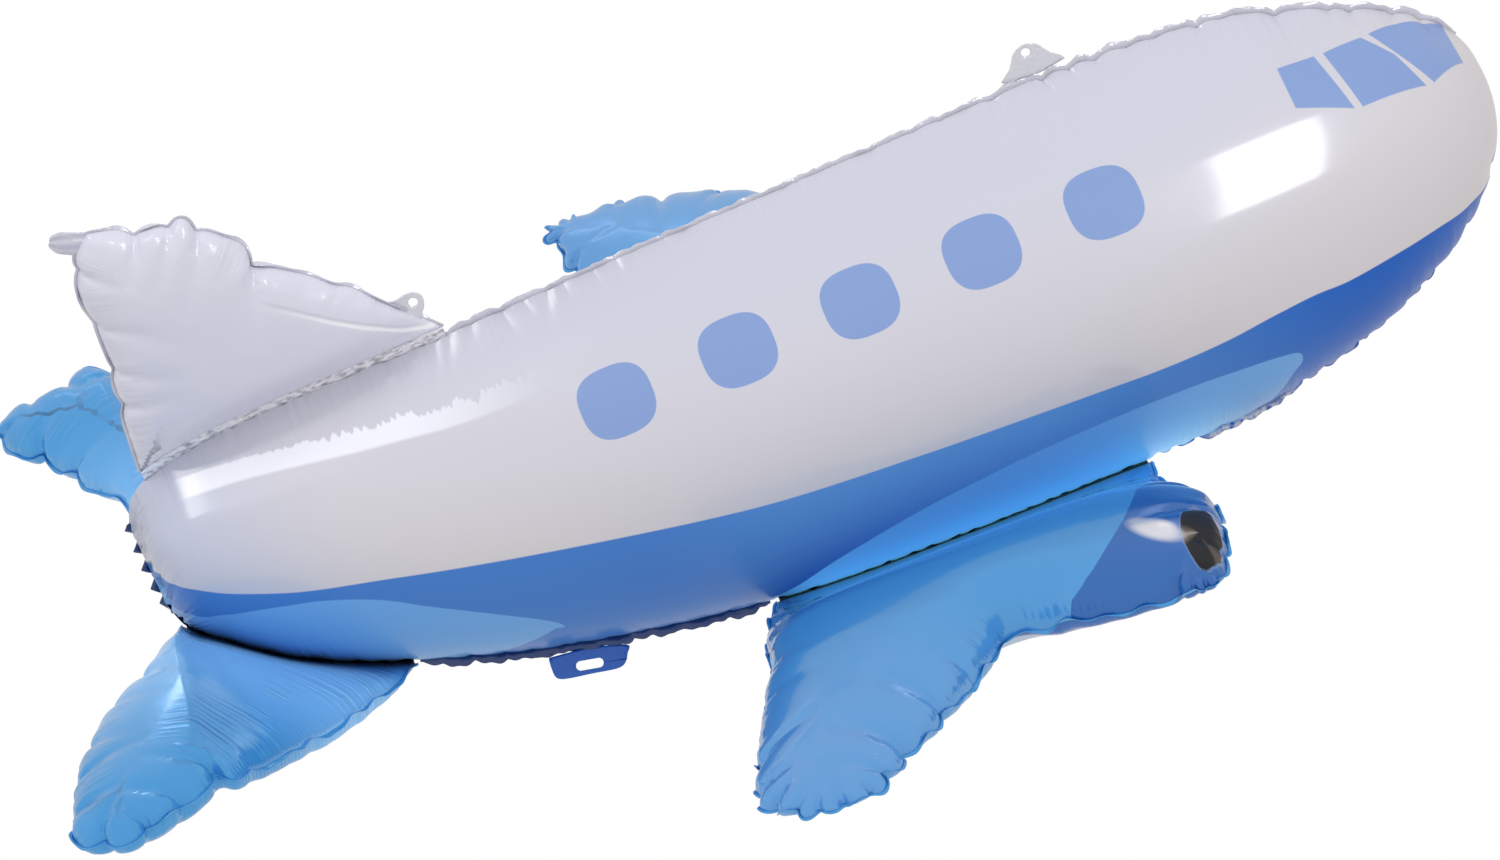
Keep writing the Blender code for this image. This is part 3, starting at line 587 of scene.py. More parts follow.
def gathered(x, turn, around, below):
    """Points of the fuselage's film with the tucks of its seams."""
    high = SPINE_TUCKS.depth(x, around) + NOSE_TUCKS.depth(x, around)
    low = LOW_FRONT_TUCKS.depth(x, below) + LOW_REAR_TUCKS.depth(x, below)
    end = TAIL_TUCKS.depth(around, (x - TAIL_X) * 1.6)
    pull = np.minimum(high + low + 1.3 * end, 1.3) * TUCK_DEPTH
    width = fuselage_size(x)[0]
    pull = np.minimum(pull, 0.25 * width)
    return skin(x, turn) - skin_outward(x, turn) * pull[..., None]


def grid_mesh(name, points, attributes=None):
    """A mesh of quads through a grid of points, with values kept at each point."""
    rows, columns = points.shape[:2]
    index = np.arange(rows * columns).reshape(rows, columns)
    a, b = index[:-1, :-1].ravel(), index[:-1, 1:].ravel()
    c, d = index[1:, 1:].ravel(), index[1:, :-1].ravel()
    quads = np.stack([a, b, c, d], axis=1)
    return make_mesh(name, points.reshape(-1, 3), quads.tolist(),
                     {key: value.ravel() for key, value in (attributes or {}).items()})


def make_mesh(name, points, faces, attributes=None):
    mesh = bpy.data.meshes.new(name)
    mesh.from_pydata(np.asarray(points, float).tolist(), [], faces)
    for key, values in (attributes or {}).items():
        layer = mesh.attributes.new(key, "FLOAT", "POINT")
        layer.data.foreach_set("value", np.asarray(values, np.float32))
    mesh.validate()
    mesh.shade_smooth()
    return mesh


def add_piece(name, mesh, material, slot, replaces=()):
    piece = bpy.data.objects.new(name, mesh)
    bpy.context.scene.collection.objects.link(piece)
    mesh.materials.clear()
    mesh.materials.append(material)
    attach(piece, "root")
    if replaces:
        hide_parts(*replaces)
    return piece


def mirrored(mesh, name):
    """A copy of a mesh on the other side of the balloon."""
    twin = mesh.copy()
    twin.name = name
    twin.transform(Matrix.Scale(-1, 4, (0, 1, 0)))
    twin.flip_normals()
    return twin


def applied(mesh, *modifiers):
    """The mesh after modifiers, each given as its type and settings."""
    carrier = bpy.data.objects.new("carrier", mesh)
    bpy.context.scene.collection.objects.link(carrier)
    for kind, settings in modifiers:
        modifier = carrier.modifiers.new(kind, kind)
        for key, value in settings.items():
            setattr(modifier, key, value)
    bpy.context.view_layer.update()
    evaluated = carrier.evaluated_get(bpy.context.evaluated_depsgraph_get())
    result = bpy.data.meshes.new_from_object(evaluated)
    bpy.data.objects.remove(carrier, do_unlink=True)
    result.shade_smooth()
    return result


def inside(points, loop):
    """Which points lie inside a closed loop."""
    x, y = points[:, :1], points[:, 1:]
    x1, y1 = loop[:, 0][None], loop[:, 1][None]
    x2, y2 = np.roll(x1, -1), np.roll(y1, -1)
    crossed = ((y1 > y) != (y2 > y)) & (x < (x2 - x1) * (y - y1) / (y2 - y1 + 1e-12) + x1)
    return crossed.sum(axis=1) % 2 == 1


def nearest(points, loop):
    """For each point its distance from a loop, the run there and the way from the loop."""
    start = loop[None]
    step = np.roll(loop, -1, axis=0)[None] - start
    length = np.linalg.norm(step[0], axis=1)
    reach = points[:, None] - start
    share = np.clip((reach * step).sum(2) / (step ** 2).sum(2), 0, 1)
    offset = reach - step * share[..., None]
    distance = np.linalg.norm(offset, axis=2)
    best = distance.argmin(axis=1)
    row = np.arange(len(points))
    run = (np.r_[0, np.cumsum(length)][best]) + share[row, best] * length[best]
    depth = distance[row, best]
    ahead = np.roll(loop, -1, axis=0)
    turning = np.sign((loop[:, 0] * ahead[:, 1] - loop[:, 1] * ahead[:, 0]).sum())
    side = turning * np.stack([-step[0, :, 1], step[0, :, 0]], axis=1) / length[:, None]
    away = np.where(depth[:, None] > 1e-6, offset[row, best] / (depth[:, None] + 1e-12), side[best])
    return depth, run, away


def swelling(points, loop, step=0.0025):
    """How high a thin skin held at a loop swells at points inside it, in metres squared."""
    low = loop.min(axis=0) - 2 * step
    count = np.ceil((loop.max(axis=0) + 2 * step - low) / step).astype(int)
    x, y = np.meshgrid(*(low[k] + step * np.arange(count[k]) for k in (0, 1)), indexing="ij")
    within = inside(np.stack([x.ravel(), y.ravel()], axis=1), loop).reshape(x.shape)

    def spread(level):
        around = sum(np.roll(level, shift, axis) for shift in (1, -1) for axis in (0, 1))
        return np.where(within, 4 * level - around, 0)

    level = np.zeros(x.shape)
    left = np.where(within, step ** 2, 0)
    way = left.copy()
    size = (left ** 2).sum()
    for _ in range(500):
        spread_way = spread(way)
        share = size / (way * spread_way).sum()
        level += share * way
        left -= share * spread_way
        size, before = (left ** 2).sum(), size
        if size < 1e-18 * step ** 2:
            break
        way = left + way * size / before
    place = (points - low) / step
    cell = np.clip(place.astype(int), 0, count - 2)
    u, v = (place - cell).T
    i, j = cell.T
    return ((level[i, j] * (1 - u) + level[i + 1, j] * u) * (1 - v)
            + (level[i, j + 1] * (1 - u) + level[i + 1, j + 1] * u) * v)


def one_layer(loop, step, band=0.011):
    """Points and faces of one layer of film inside a loop, the loop's points first.

    The points are closer together in the band along the loop."""
    low, high = loop.min(axis=0), loop.max(axis=0)
    kept = []
    for pitch, near, far in ((step, 0.62 * step, band), (1.9 * step, band + 0.9 * step, 1.0)):
        x, y = np.meshgrid(np.arange(low[0], high[0], pitch), np.arange(low[1], high[1], pitch))
        inner = np.stack([x.ravel(), y.ravel()], axis=1)
        inner = inner[inside(inner, loop)]
        depth = nearest(inner, loop)[0]
        kept.append(inner[(depth > near) & (depth < far)])
    count = len(loop)
    edges = [(i, (i + 1) % count) for i in range(count)]
    flat = [Vector(p) for p in np.vstack([loop, *kept])]
    corners, _, faces, *_ = geometry.delaunay_2d_cdt(flat, edges, [], 1, 1e-7)
    return np.array([tuple(c) for c in corners]), faces


def notch_runs(rim, notches):
    """The run and depth of each notch along a rim, in order."""
    runs = run_of(rim)
    found = sorted((runs[np.hypot(rim[:, 0] - x, rim[:, 1] - out).argmin()], deep)
                   for x, out, deep in notches)
    return np.array(found).T


def scallops(run, places, depths):
    """How far in the rim lies: deepest at each notch, and round between two."""
    pull = np.zeros(len(run))
    edges = np.r_[-1.0, places, 9.0]
    for before, place, after, deep in zip(edges, places, edges[2:], depths):
        half = np.where(run < place, min((place - before) / 2, NOTCH_REACH),
                        min((after - place) / 2, NOTCH_REACH))
        pull = np.maximum(pull, deep * np.maximum(1 - np.abs(run - place) / half, 0) ** 2.3)
    return pull


def crease_rim(body, count):
    """Keeps a pocket's rim sharp when it is subdivided. Its first points are the rim's."""
    rim = {tuple(sorted((i, (i + 1) % count))) for i in range(count)}
    crease = body.attributes.new("crease_edge", "FLOAT", "EDGE")
    crease.data.foreach_set("value", [float(tuple(sorted(edge.vertices)) in rim)
                                      for edge in body.edges])


def turn_outward(body, face, upper, middle, place):
    """Turns a pocket's faces over where the first of its upper side looks down."""
    a, b, c = (upper[i] for i in face[:3])
    low, high = (place(middle[:, 0], middle[:, 1], np.array([up])) for up in (0.04, 0.05))
    if np.cross(b - a, c - a) @ (high - low)[0] < 0:
        body.flip_normals()


def pocket_flange(flat, outward, run, sway, place, random):
    """The narrow film beyond the free part of a pocket's rim."""
    number = len(flat)
    uneven = 1 - 0.25 * random.random(number)
    uneven = (np.roll(uneven, 1) + uneven + np.roll(uneven, -1)) / 3
    rows = []
    for share in (0.0, 0.5, 1.0):
        spot = flat + outward * (POCKET_FLANGE * share * uneven)[:, None]
        rows.append(place(spot[:, 0], spot[:, 1], sway * (1 + 1.2 * share)))
    return grid_mesh("flange", np.array(rows), {"run": np.tile(run, (3, 1))})


def pocket(name, rim, notches, step, fullness, place, seed, shares=(1.0, 1.0), thin_tip=0.0,
           slow=(1.0, 0.1), pinch=(0.0, 0.0, 1e-6)):
    """A swollen two-layer pocket in its place, and the flange round the free part of its rim.

    The shares are how much of the swelling is above and below the rim. A thin tip swells less.
    Slow is the share of its height that the upper side has at its root, and how far out it has
    all of it. The lower side is flat at the pinch, a place and how far it reaches."""
    free = even_path(smooth_path(rim), step)
    root = even_path(np.array((rim[-1], rim[0]), float), step)[1:-1]
    loop = np.vstack([free, root])
    count, open_end = len(loop), run_of(free)[-1]
    foot = min(rim[0][1], rim[-1][1])
    corners, faces = one_layer(loop, step)
    depth, run, inward = nearest(corners, loop)
    places, depths = notch_runs(free, notches)
    pull = scallops(run, places, depths) * np.exp(-depth / 0.010)
    folds = Tucks.at(seed, places, np.minimum(depths / 0.005, 1), (0.008, 0.020), 0.0016, 0.14)
    fine = Tucks(seed + 50, 0, open_end, 0.012, (0.05, 0.35), (0.004, 0.014), 0.0014, 0.10)
    height = fullness * np.sqrt(np.maximum(swelling(corners, loop), 0))
    height[:count] = 0
    height = height.max() * (1 - (1 - height / height.max()) ** FLATNESS)
    height *= 1 - 0.62 * folds.depth(run, depth) - 0.16 * fine.depth(run, depth)
    span = corners[:, 1] - foot
    height *= 1 - thin_tip * np.clip(span / span.max() * 2 - 1, 0, 1)
    free_share = np.clip((open_end - run) / 0.02, 0, 1) * np.clip(run / 0.02, 0, 1)
    flat = corners + inward * (pull * free_share)[:, None] - (0.0, foot)
    random = np.random.default_rng(seed)
    swing = sum(random.uniform(0.4, 1) * np.sin(run / length + random.uniform(0, 6))
                for length in (0.0045, 0.0071, 0.013))
    sway = RIM_WAVE * swing * free_share * np.exp(-depth / 0.008)
    rising = np.clip(span / slow[1], 0, 1)
    rising = slow[0] + (1 - slow[0]) * rising ** 2 * (3 - 2 * rising)
    upper = place(flat[:, 0], flat[:, 1], shares[0] * height * rising + sway)
    from_pinch = np.hypot(corners[:, 0] - pinch[0], corners[:, 1] - pinch[1]) / pinch[2]
    drop = shares[1] * height * np.clip(0.1 + 0.9 * from_pinch, 0, 1)
    lower = place(flat[count:, 0], flat[count:, 1], (sway - drop)[count:])
    second = {i: (i if i < count else i - count + len(corners)) for i in range(len(corners))}
    every = [list(face) for face in faces]
    every += [[second[i] for i in reversed(face)] for face in faces if max(face) >= count]
    values = {"chord": corners[:, 0], "span": span, "rise": height, "run": run, "depth": depth}
    values = {key: np.r_[value, value[count:] * (-1 if key == "rise" else 1)]
              for key, value in values.items()}
    body = make_mesh(name, np.vstack([upper, lower]), every, values)
    first = every[0][:1]
    turn_outward(body, every[0], upper, np.stack([corners[first, 0], span[first]], axis=1), place)
    crease_rim(body, count)
    number = len(free)
    flange = pocket_flange(flat[:number], -inward[:number], run[:number], sway[:number], place,
                           random)
    smooth = ("SUBSURF", {"levels": 1, "render_levels": 1})
    thick = ("SOLIDIFY", {"thickness": FILM, "offset": 0.0})
    return applied(body, smooth), applied(flange, smooth, thick)


def wing_side(root_x, dihedral):
    """Puts flat points of a right wing or tailplane in space, kept clear of the fuselage."""
    def place(x, out, up):
        root = skin(np.clip(x, *root_x), SEAM_TURN + 0 * x)
        reach = ROOT_SEAL + out
        width, height, middle = fuselage_size(np.clip(x, TAIL_X, NOSE_TIP_X))
        up = np.array(up, float) + 0 * x
        for _ in range(40):
            y = root[:, 1] - math.cos(dihedral) * reach + math.sin(dihedral) * up
            z = root[:, 2] + math.sin(dihedral) * reach + math.cos(dihedral) * up
            sunk = (y / (width + CLEARANCE)) ** 2 + ((z - middle) / (height + CLEARANCE)) ** 2 < 1
            up = np.where(sunk & (up > 0), 0.93 * up - 0.0001, up)
        y = root[:, 1] - math.cos(dihedral) * reach + math.sin(dihedral) * up
        z = root[:, 2] + math.sin(dihedral) * reach + math.cos(dihedral) * up
        return np.stack([x, y, z], axis=1)
    return place


def fin_place(x, height, up):
    """Puts flat points of the fin in space. Its foot follows the spine."""
    spine = skin(np.clip(x, TAIL_X, NOSE_TIP_X), 0 * x)[:, 2] + FLANGE
    share = np.clip(1 - height / (FIN_TOP - FIN_FOOT), 0, 1)
    return np.stack([x, -up, height + FIN_FOOT + (spine - FIN_FOOT) * share], axis=1)


def strip(name, inner, outer, values=None):
    """A strip of sealed film between two edges."""
    shares = np.linspace(0, 1, 3)[:, None, None]
    points = inner[None] * (1 - shares) + outer[None] * shares
    spread = {key: np.tile(value, (3, 1)) for key, value in (values or {}).items()}
    mesh = grid_mesh(name, points, spread)
    return applied(mesh, ("SOLIDIFY", {"thickness": FILM, "offset": 0.0}))


def seam_strip(name, first, last, turn, width, seed):
    """The sealed film beyond a seam of the fuselage, gathered as its panels are.

    The width is a table: places along and the widths there."""
    x = fuselage_places(first, last, SEAM_STEP)
    at = np.full(len(x), float(turn))
    around = 0 * x if turn == 0 else 0 * x + 0.3
    below = 0 * x + 0.3 if turn == 0 else 0 * x
    out = skin_outward(x, at)
    inner = gathered(x, at, around, below) - out * 0.0006
    random = np.random.default_rng(seed)
    ahead = np.gradient(inner, axis=0)
    through = np.cross(ahead, out)
    through /= np.linalg.norm(through, axis=1)[:, None]
    swing = sum(random.uniform(0.4, 1) * np.sin(x / length + random.uniform(0, 6))
                for length in (0.0030, 0.0052, 0.011))
    uneven = 1 + 0.10 * np.sin(x / 0.0043) + 0.08 * np.sin(x / 0.0017)
    ends = np.clip(np.minimum(x - first, last - x) / 0.012, 0.12, 1) ** 0.5
    wide = np.interp(x, *width)
    outer = inner + out * (wide * uneven * ends)[:, None] + through * (SEAM_WAVE * swing)[:, None]
    return strip(name, inner, outer, values={"run": x})


def outward_frame(x, turn):
    """A place on a seam, the way along it and the way out."""
    at = np.array([x]), np.array([float(turn)])
    place = skin(*at)[0]
    out = skin_outward(*at)[0]
    along = (skin(at[0] + 0.002, at[1]) - skin(at[0] - 0.002, at[1]))[0]
    along = along / np.linalg.norm(along)
    out = out - along * (out @ along)
    return place, along, out / np.linalg.norm(out)


def tab_film(name, outline, hole, place, along, out):
    """A flat tab of sealed film with one hole, in a frame at its middle. Sizes in metres."""
    steps = 96
    turns = np.linspace(0, 2 * math.pi, steps + 1)
    centre, half_width, half_height = hole
    straight = max(half_width - half_height, 0)
    shift = np.where(np.cos(turns) > 0, straight, -straight)
    ring = np.stack([centre[0] + shift + half_height * np.cos(turns),
                     centre[1] + half_height * np.sin(turns)], axis=1)
    closed = np.vstack([outline, outline[:1]])
    border = even_path(smooth_path(closed), TAB_STEP)[:-1]
    angles = np.arctan2(border[:, 1] - centre[1], border[:, 0] - centre[0])
    order = np.argsort(angles)
    angles, border = angles[order], border[order]
    spots = (turns + math.pi) % (2 * math.pi) - math.pi
    edge = np.stack([np.interp(spots, angles, border[:, k], period=2 * math.pi)
                     for k in (0, 1)], axis=1)
    shares = np.linspace(0, 1, 7)[:, None, None]
    flat = ring[None] * (1 - shares) + edge[None] * shares
    along, out = np.asarray(along), np.asarray(out)
    through = np.cross(along, out)
    bend = 0.0005 * np.sin(flat[..., 0] / 0.004)
    points = (np.asarray(place) + flat[..., :1] * along + flat[..., 1:] * out
              + bend[..., None] * through)
    return applied(grid_mesh(name, points), ("SOLIDIFY", {"thickness": TAB_FILM, "offset": 0.0}))


def add_camera():
    """The camera of the photograph: its angle, its distance and where it puts the origin."""
    turn, lift = VIEW_TURN, VIEW_LIFT
    level = Vector((math.cos(turn), math.sin(turn), 0))
    back = Vector((math.sin(turn) * math.cos(lift), -math.cos(turn) * math.cos(lift),
                   math.sin(lift)))
    upright = back.cross(level)
    right = level * math.cos(VIEW_ROLL) - upright * math.sin(VIEW_ROLL)
    up = level * math.sin(VIEW_ROLL) + upright * math.cos(VIEW_ROLL)
    across = ORIGIN_PIXEL[0] - PHOTO_SIZE[0] / 2
    above = PHOTO_SIZE[1] / 2 - ORIGIN_PIXEL[1]
    target = -(right * across + up * above) * PIXEL_SIZE
    lens = bpy.data.cameras.new("photo_camera")
    lens.sensor_width = SENSOR
    lens.lens = SENSOR * VIEW_DISTANCE / (PIXEL_SIZE * PHOTO_SIZE[0])
    lens.clip_end = 100
    camera = bpy.data.objects.new("photo_camera", lens)
    bpy.context.scene.collection.objects.link(camera)
    matrix = Matrix((right, up, back)).transposed().to_4x4()
    matrix.translation = target + back * VIEW_DISTANCE
    camera.matrix_world = matrix
    bpy.context.scene.camera = camera


def add_light(name, place, aim, size, power, left_out):
    """An area light whose long side is level along X."""
    lamp = bpy.data.lights.new(name, "AREA")
    lamp.shape = "RECTANGLE"
    lamp.size, lamp.size_y = size
    lamp.energy = power
    light = bpy.data.objects.new(name, lamp)
    back = (Vector(place) - Vector(aim)).normalized()
    level = (Vector((1, 0, 0)) - back * back.x).normalized()
    light.matrix_world = Matrix.Translation(place) @ Matrix(
        (level, back.cross(level), back)).transposed().to_4x4()
    bpy.context.scene.collection.objects.link(light)
    if left_out:
        setattr(light, "visible_" + left_out, False)
    return light


def add_studio():
    """A white sky that darkens downwards, with plain white behind the balloon."""
    world = bpy.data.worlds.new("studio")
    world.use_nodes = True
    world.node_tree.nodes.clear()
    tones = Tone(world.node_tree)
    direction = tones.add("TexCoord", output=0)
    height = tones.add("SeparateXYZ", {}, {"Vector": direction}, output=2)
    sky = height.ramp(-0.5, 0.6).mix(SKY_LOW, SKY_HIGH)
    backdrop = tones.add("Background", {}, {"Color": sky, "Strength": 1.0})
    seen = tones.add("Background", {}, {"Color": WHITE, "Strength": 1.0})
    direct = tones.add("LightPath", output=0)
    mixed = tones.add("MixShader", {}, {0: direct, 1: backdrop, 2: seen})
    tones.add("OutputWorld", {}, {"Surface": mixed})
    bpy.context.scene.world = world
    bpy.context.scene.view_settings.view_transform = "Standard"


def keep_light_on(light, words):
    """Limits a light to the pieces whose names start with any of the words."""
    lit = bpy.data.collections.new(light.name + "_pieces")
    for piece in bpy.context.scene.objects:
        if piece.type == "MESH" and piece.name.startswith(words):
            lit.objects.link(piece)
    light.light_linking.receiver_collection = lit


def within(along, across, corners):
    """1 inside a printed shape whose corners run counterclockwise or clockwise, without hollows."""
    area = sum(a[0] * b[1] - b[0] * a[1] for a, b in zip(corners, corners[1:] + corners[:1]))
    sign = 1 if area > 0 else -1
    share = None
    for (x1, y1), (x2, y2) in zip(corners, corners[1:] + corners[:1]):
        length = math.hypot(x2 - x1, y2 - y1) * sign
        edge = (across - y1) * ((x2 - x1) / length) - (along - x1) * ((y2 - y1) / length)
        side = edge.over(0.0)
        share = side if share is None else share * side
    return share


def window_row(along, around):
    """1 inside a window: a rounded square every pitch, from the front one backwards."""
    first_along, first_around = WINDOW_FIRST
    back = along - first_along
    number = back.math("ROUND", back / WINDOW_PITCH)
    number = number.math("MAXIMUM", number.math("MINIMUM", number, 0), -4)
    length, height = WINDOW_SIZE
    x = abs(back - number * WINDOW_PITCH) / length
    y = abs(around - first_around - back * WINDOW_SLOPE) / height
    return 1 - (x ** WINDOW_ROUND + y ** WINDOW_ROUND).over(1.0, 0.04)


def rear_highlight(tones, along, around):
    """1 in the long highlight painted beside the spine, whose upper edge has the teeth of fine
    wrinkles.
    """
    where = tones.add("CombineXYZ", {}, {"X": along / 0.0042, "Y": around * 9.0})
    noise = tones.add("TexNoise", {}, {"Vector": where, "Scale": 1.0, "Detail": 1.0})
    off = around - along.curve(REAR_HIGHLIGHT)
    ragged = off + (noise - 0.5) * along.ramp(-0.460, -0.300) * 0.022
    upper = ragged.ramp(-REAR_HIGHLIGHT_WIDTH, 0.0020 - REAR_HIGHLIGHT_WIDTH)
    lower = off.ramp(REAR_HIGHLIGHT_WIDTH, REAR_HIGHLIGHT_WIDTH - 0.0035)
    return upper * lower * along.ramp(-0.474, -0.462) * along.ramp(-0.200, -0.330)


def side_print(name):
    """Printed film of the fuselage's side: pearl white with blue bands and windows, with a painted
    highlight on its rear, a painted reflection low on the pearl, and painted light along the royal
    blue.
    """
    material, tones = nodes_of(name)
    along = attribute(tones, "along")
    around = attribute(tones, "around")
    below = attribute(tones, "below")
    height = combs(tones, along, around, 0.0055, 0.055)
    height = height + combs(tones, along, below, 0.0050, 0.050)
    height = height + combs(tones, around, along - TAIL_X, 0.0050, 0.040)
    patches = tones.add("TexNoise", {}, {"Vector": place_of(tones), "Scale": 11.0})
    height = height + combs(tones, along, below, 0.0062, 0.070) * patches.ramp(0.48, 0.60) * 2.2
    height = height + drape(tones)
    rounding = around.math("MINIMUM", around, DOME_WIDTH)
    dome = rounding * (1 - rounding / (2 * DOME_WIDTH)) * (DOME_SLOPE / BUMP_UNIT)
    height = height + dome * along.ramp(0.02, -0.20)
    # Painted reflection: the pearl is warmer low on the side, where it mirrors the warm studio below.
    pearl = below.ramp(0.13, 0.30).mix(PEARL_LOW_REFLECTION, PEARL)
    pearl = along.ramp(-0.490, -0.360).mix(PEARL_TAIL, pearl)
    # Painted highlight: a lamp's long shine on the rear, painted into the pearl.
    pearl = rear_highlight(tones, along, around).mix(pearl, HIGHLIGHT_WHITE)
    glass = window_row(along, around)
    for pane in PANES:
        glass = glass.math("MAXIMUM", glass, within(along, around, pane))
    color = glass.mix(pearl, WINDOW_BLUE)
    band = below.over(along.curve(BAND), 0.0006)
    front_end = along.over(below.curve(FRONT_PATCH_END), 0.0006)
    front = (1 - below.over(along.curve(FRONT_PATCH), 0.0006)) * (1 - front_end)
    front = front * along.over(FRONT_PATCH[0][0])
    rear = 1 - below.over(along.curve(REAR_PATCH), 0.0006)
    rear = rear * below.over(along.curve(REAR_PATCH_FOOT), 0.0006)
    rear = rear * (1 - along.over(REAR_PATCH[-1][0]))
    # Painted light: the royal blue is lighter along the middle and rear, standing in for the light
    # that reaches it there.
    royal = along.ramp(0.34, 0.05).mix(ROYAL_BLUE, ROYAL_MIDDLE_LIT)
    royal = along.ramp(-0.08, -0.21).mix(royal, ROYAL_REAR_LIT)
    blue = (front + rear).mix(royal, PATCH_BLUE)
    gloss = 0.75 - (1 - band) * 0.68
    through = below.ramp(0.112, 0.018) * along.ramp(-0.15, -0.09) * along.ramp(0.225, 0.145)
    glow = (through * front).mix(NO_GLOW, PATCH_GLOW)
    return finish_film(material, band.mix(blue, color), bump(tones, height), 0.32, 0.0, gloss,
                       index=1.30, coat_index=1.75, coat_roughness=0.11, glow=glow)


def intake_print(tones, chord, span, color):
    """The printed air intake over a colour: its colour, and 1 inside its mouth."""
    length, width = INTAKE_SIZE
    across = (span - INTAKE_PLACE[1]) / width
    along = (chord - INTAKE_PLACE[0] + (span - INTAKE_PLACE[1]) * INTAKE_SLANT) / length
    ring = (along * along + across * across) ** 0.5
    turn = across.math("ARCTAN2", across, along * -1)
    wedge = (1 - abs(turn - 0.10).ramp(0.16, 0.38)) * ring.ramp(0.05, 0.35)
    low_wedge = (1 - abs(turn - 2.3).ramp(0.08, 0.30)) * ring.ramp(0.10, 0.5) * 0.8
    glint = (1 - abs(turn - 0.10).ramp(0.0, 0.16)) * ring.ramp(0.0, 0.2)
    inner = wedge.math("MAXIMUM", wedge, low_wedge).mix(BLACK_INK_AND_SHADE, INTAKE_BROWN)
    inner = glint.mix(inner, INTAKE_GLINT)
    mouth = 1 - ring.over(1.0, 0.03)
    color = (1 - ring.over(1.06, 0.03)).mix(color, INTAKE_RING)
    return mouth.mix(color, inner), mouth


def pod_highlight(chord, span, rise):
    """1 in the highlight painted on the upper side of the engine pod."""
    off_chord = chord - POD_HIGHLIGHT[0]
    off_span = span - POD_HIGHLIGHT[1]
    (a, b), (c, d) = POD_HIGHLIGHT_SLOPES
    highlight = (off_chord * a + off_span * b) ** 2 + (off_span * d - off_chord * c) ** 2
    return highlight.ramp(1.15, 0.20) * rise.over(0.0, 0.001)


def wing_print(name):
    """Printed film of a wing: light blue, with its engine lobe darker beyond an arc. Painted shade
    lies at its root, a painted reflection lightens it outwards, and a highlight is painted on the pod.
    """
    material, tones = nodes_of(name)
    chord = attribute(tones, "chord")
    span = attribute(tones, "span")
    rise = attribute(tones, "rise")
    height = rim_wrinkles(tones) + drape(tones)
    dark = chord.over(span.curve(WING_ARC), 0.0008)
    under = rise.ramp(0.0, -0.001) * chord.over(span.curve(LOWER_ARC), 0.0008)
    dark = dark.math("MAXIMUM", dark, under)
    # Painted reflection: lighter outwards, where the film mirrors the studio past the fuselage.
    light = span.ramp(0.10, 0.30).mix(LIGHT_BLUE, REFLECTION_BLUE)
    light = span.ramp(0.0, 0.030).mix(SHADE_BLUE, light)
    color, mouth = intake_print(tones, chord, span, dark.mix(light, ENGINE_BLUE))
    # Painted highlight: the pale shine of a lamp on the pod, painted into the colour.
    color = pod_highlight(chord, span, rise).mix(color, WHITE)
    # Painted shade along the wing's root, under the fuselage.
    edge = span.ramp(0.0030, 0.0012) * chord.ramp(-0.128, -0.100) * chord.ramp(0.142, 0.128)
    color = edge.mix(color, ROOT_SHADE)
    return finish_film(material, crease_shaded(tones, color, width=0.005), bump(tones, height),
                       mouth * 0.25 + 0.20, (1 - mouth) * 0.35, (1 - mouth) * 0.6)


def rim_wrinkles(tones, reach=0.030, strength=1.0):
    """The height of the fine wrinkles along a pocket's rim."""
    run = attribute(tones, "run")
    depth = attribute(tones, "depth")
    patches = tones.add("TexNoise", {}, {"Vector": place_of(tones), "Scale": 18.0})
    return combs(tones, run, depth, 0.0045, reach) * patches.ramp(0.42, 0.62) * strength


def crease_shaded(tones, color, dark=CREASE_SHADE, width=0.010):
    """A colour that falls to a dark one in the narrow creases between pieces: painted shade, where
    little light reaches.
    """
    open_share = tones.add("AmbientOcclusion", {"samples": 8}, {"Distance": width}, output=1)
    return open_share.ramp(0.05, 0.42).mix(dark, color)


def pocket_film(name, color, **finish):
    """Plain film of a pocket, with the fine wrinkles of its rim and painted shade in its creases."""
    material, tones = nodes_of(name)
    height = rim_wrinkles(tones) + drape(tones)
    return finish_film(material, crease_shaded(tones, color), bump(tones, height), **finish)


def tailplane_print(name):
    """Film of a tailplane: light blue, lighter inwards as a painted reflection, with light through its
    middle, and painted shade at its root.
    """
    material, tones = nodes_of(name)
    span = attribute(tones, "span")
    height = rim_wrinkles(tones, 0.060, 2.2) + drape(tones)
    # Painted reflection: lighter inwards, where the film mirrors the studio.
    color = span.ramp(0.190, 0.080).mix(LIGHT_BLUE, REFLECTION_BLUE)
    color = span.ramp(0.001, 0.028).mix(TAILPLANE_SHADE, color)
    through = span.ramp(0.018, 0.046) * span.ramp(0.190, 0.080)
    glow = through.mix(NO_GLOW, TAILPLANE_GLOW)
    return finish_film(material, crease_shaded(tones, color), bump(tones, height), 0.20, 0.35, glow=glow)


def fin_print(name):
    """White film of the fin, with the long fold that runs down to its front corner, and a highlight
    painted along that fold.
    """
    material, tones = nodes_of(name)
    chord = attribute(tones, "chord")
    span = attribute(tones, "span")
    off = abs(span - chord.curve(FIN_FOLD))
    height = rim_wrinkles(tones) + drape(tones)
    first, last = FIN_FOLD[0][0], FIN_FOLD[-1][0]
    ends = chord.ramp(first, first + 0.020) * (1 - chord.ramp(last - 0.008, last))
    fold = off.ramp(0.0048, 0.0) * ends
    # Painted highlight: a white line along the fold.
    highlight = off.ramp(0.0030, 0.0006) * ends * chord.ramp(first, first + 0.060)
    color = highlight.mix(PEARL_FIN, WHITE)
    return finish_film(material, crease_shaded(tones, color, FIN_CREASE_SHADE),
                       bump(tones, height - fold * 0.5), 0.26, 0.0, 0.3)


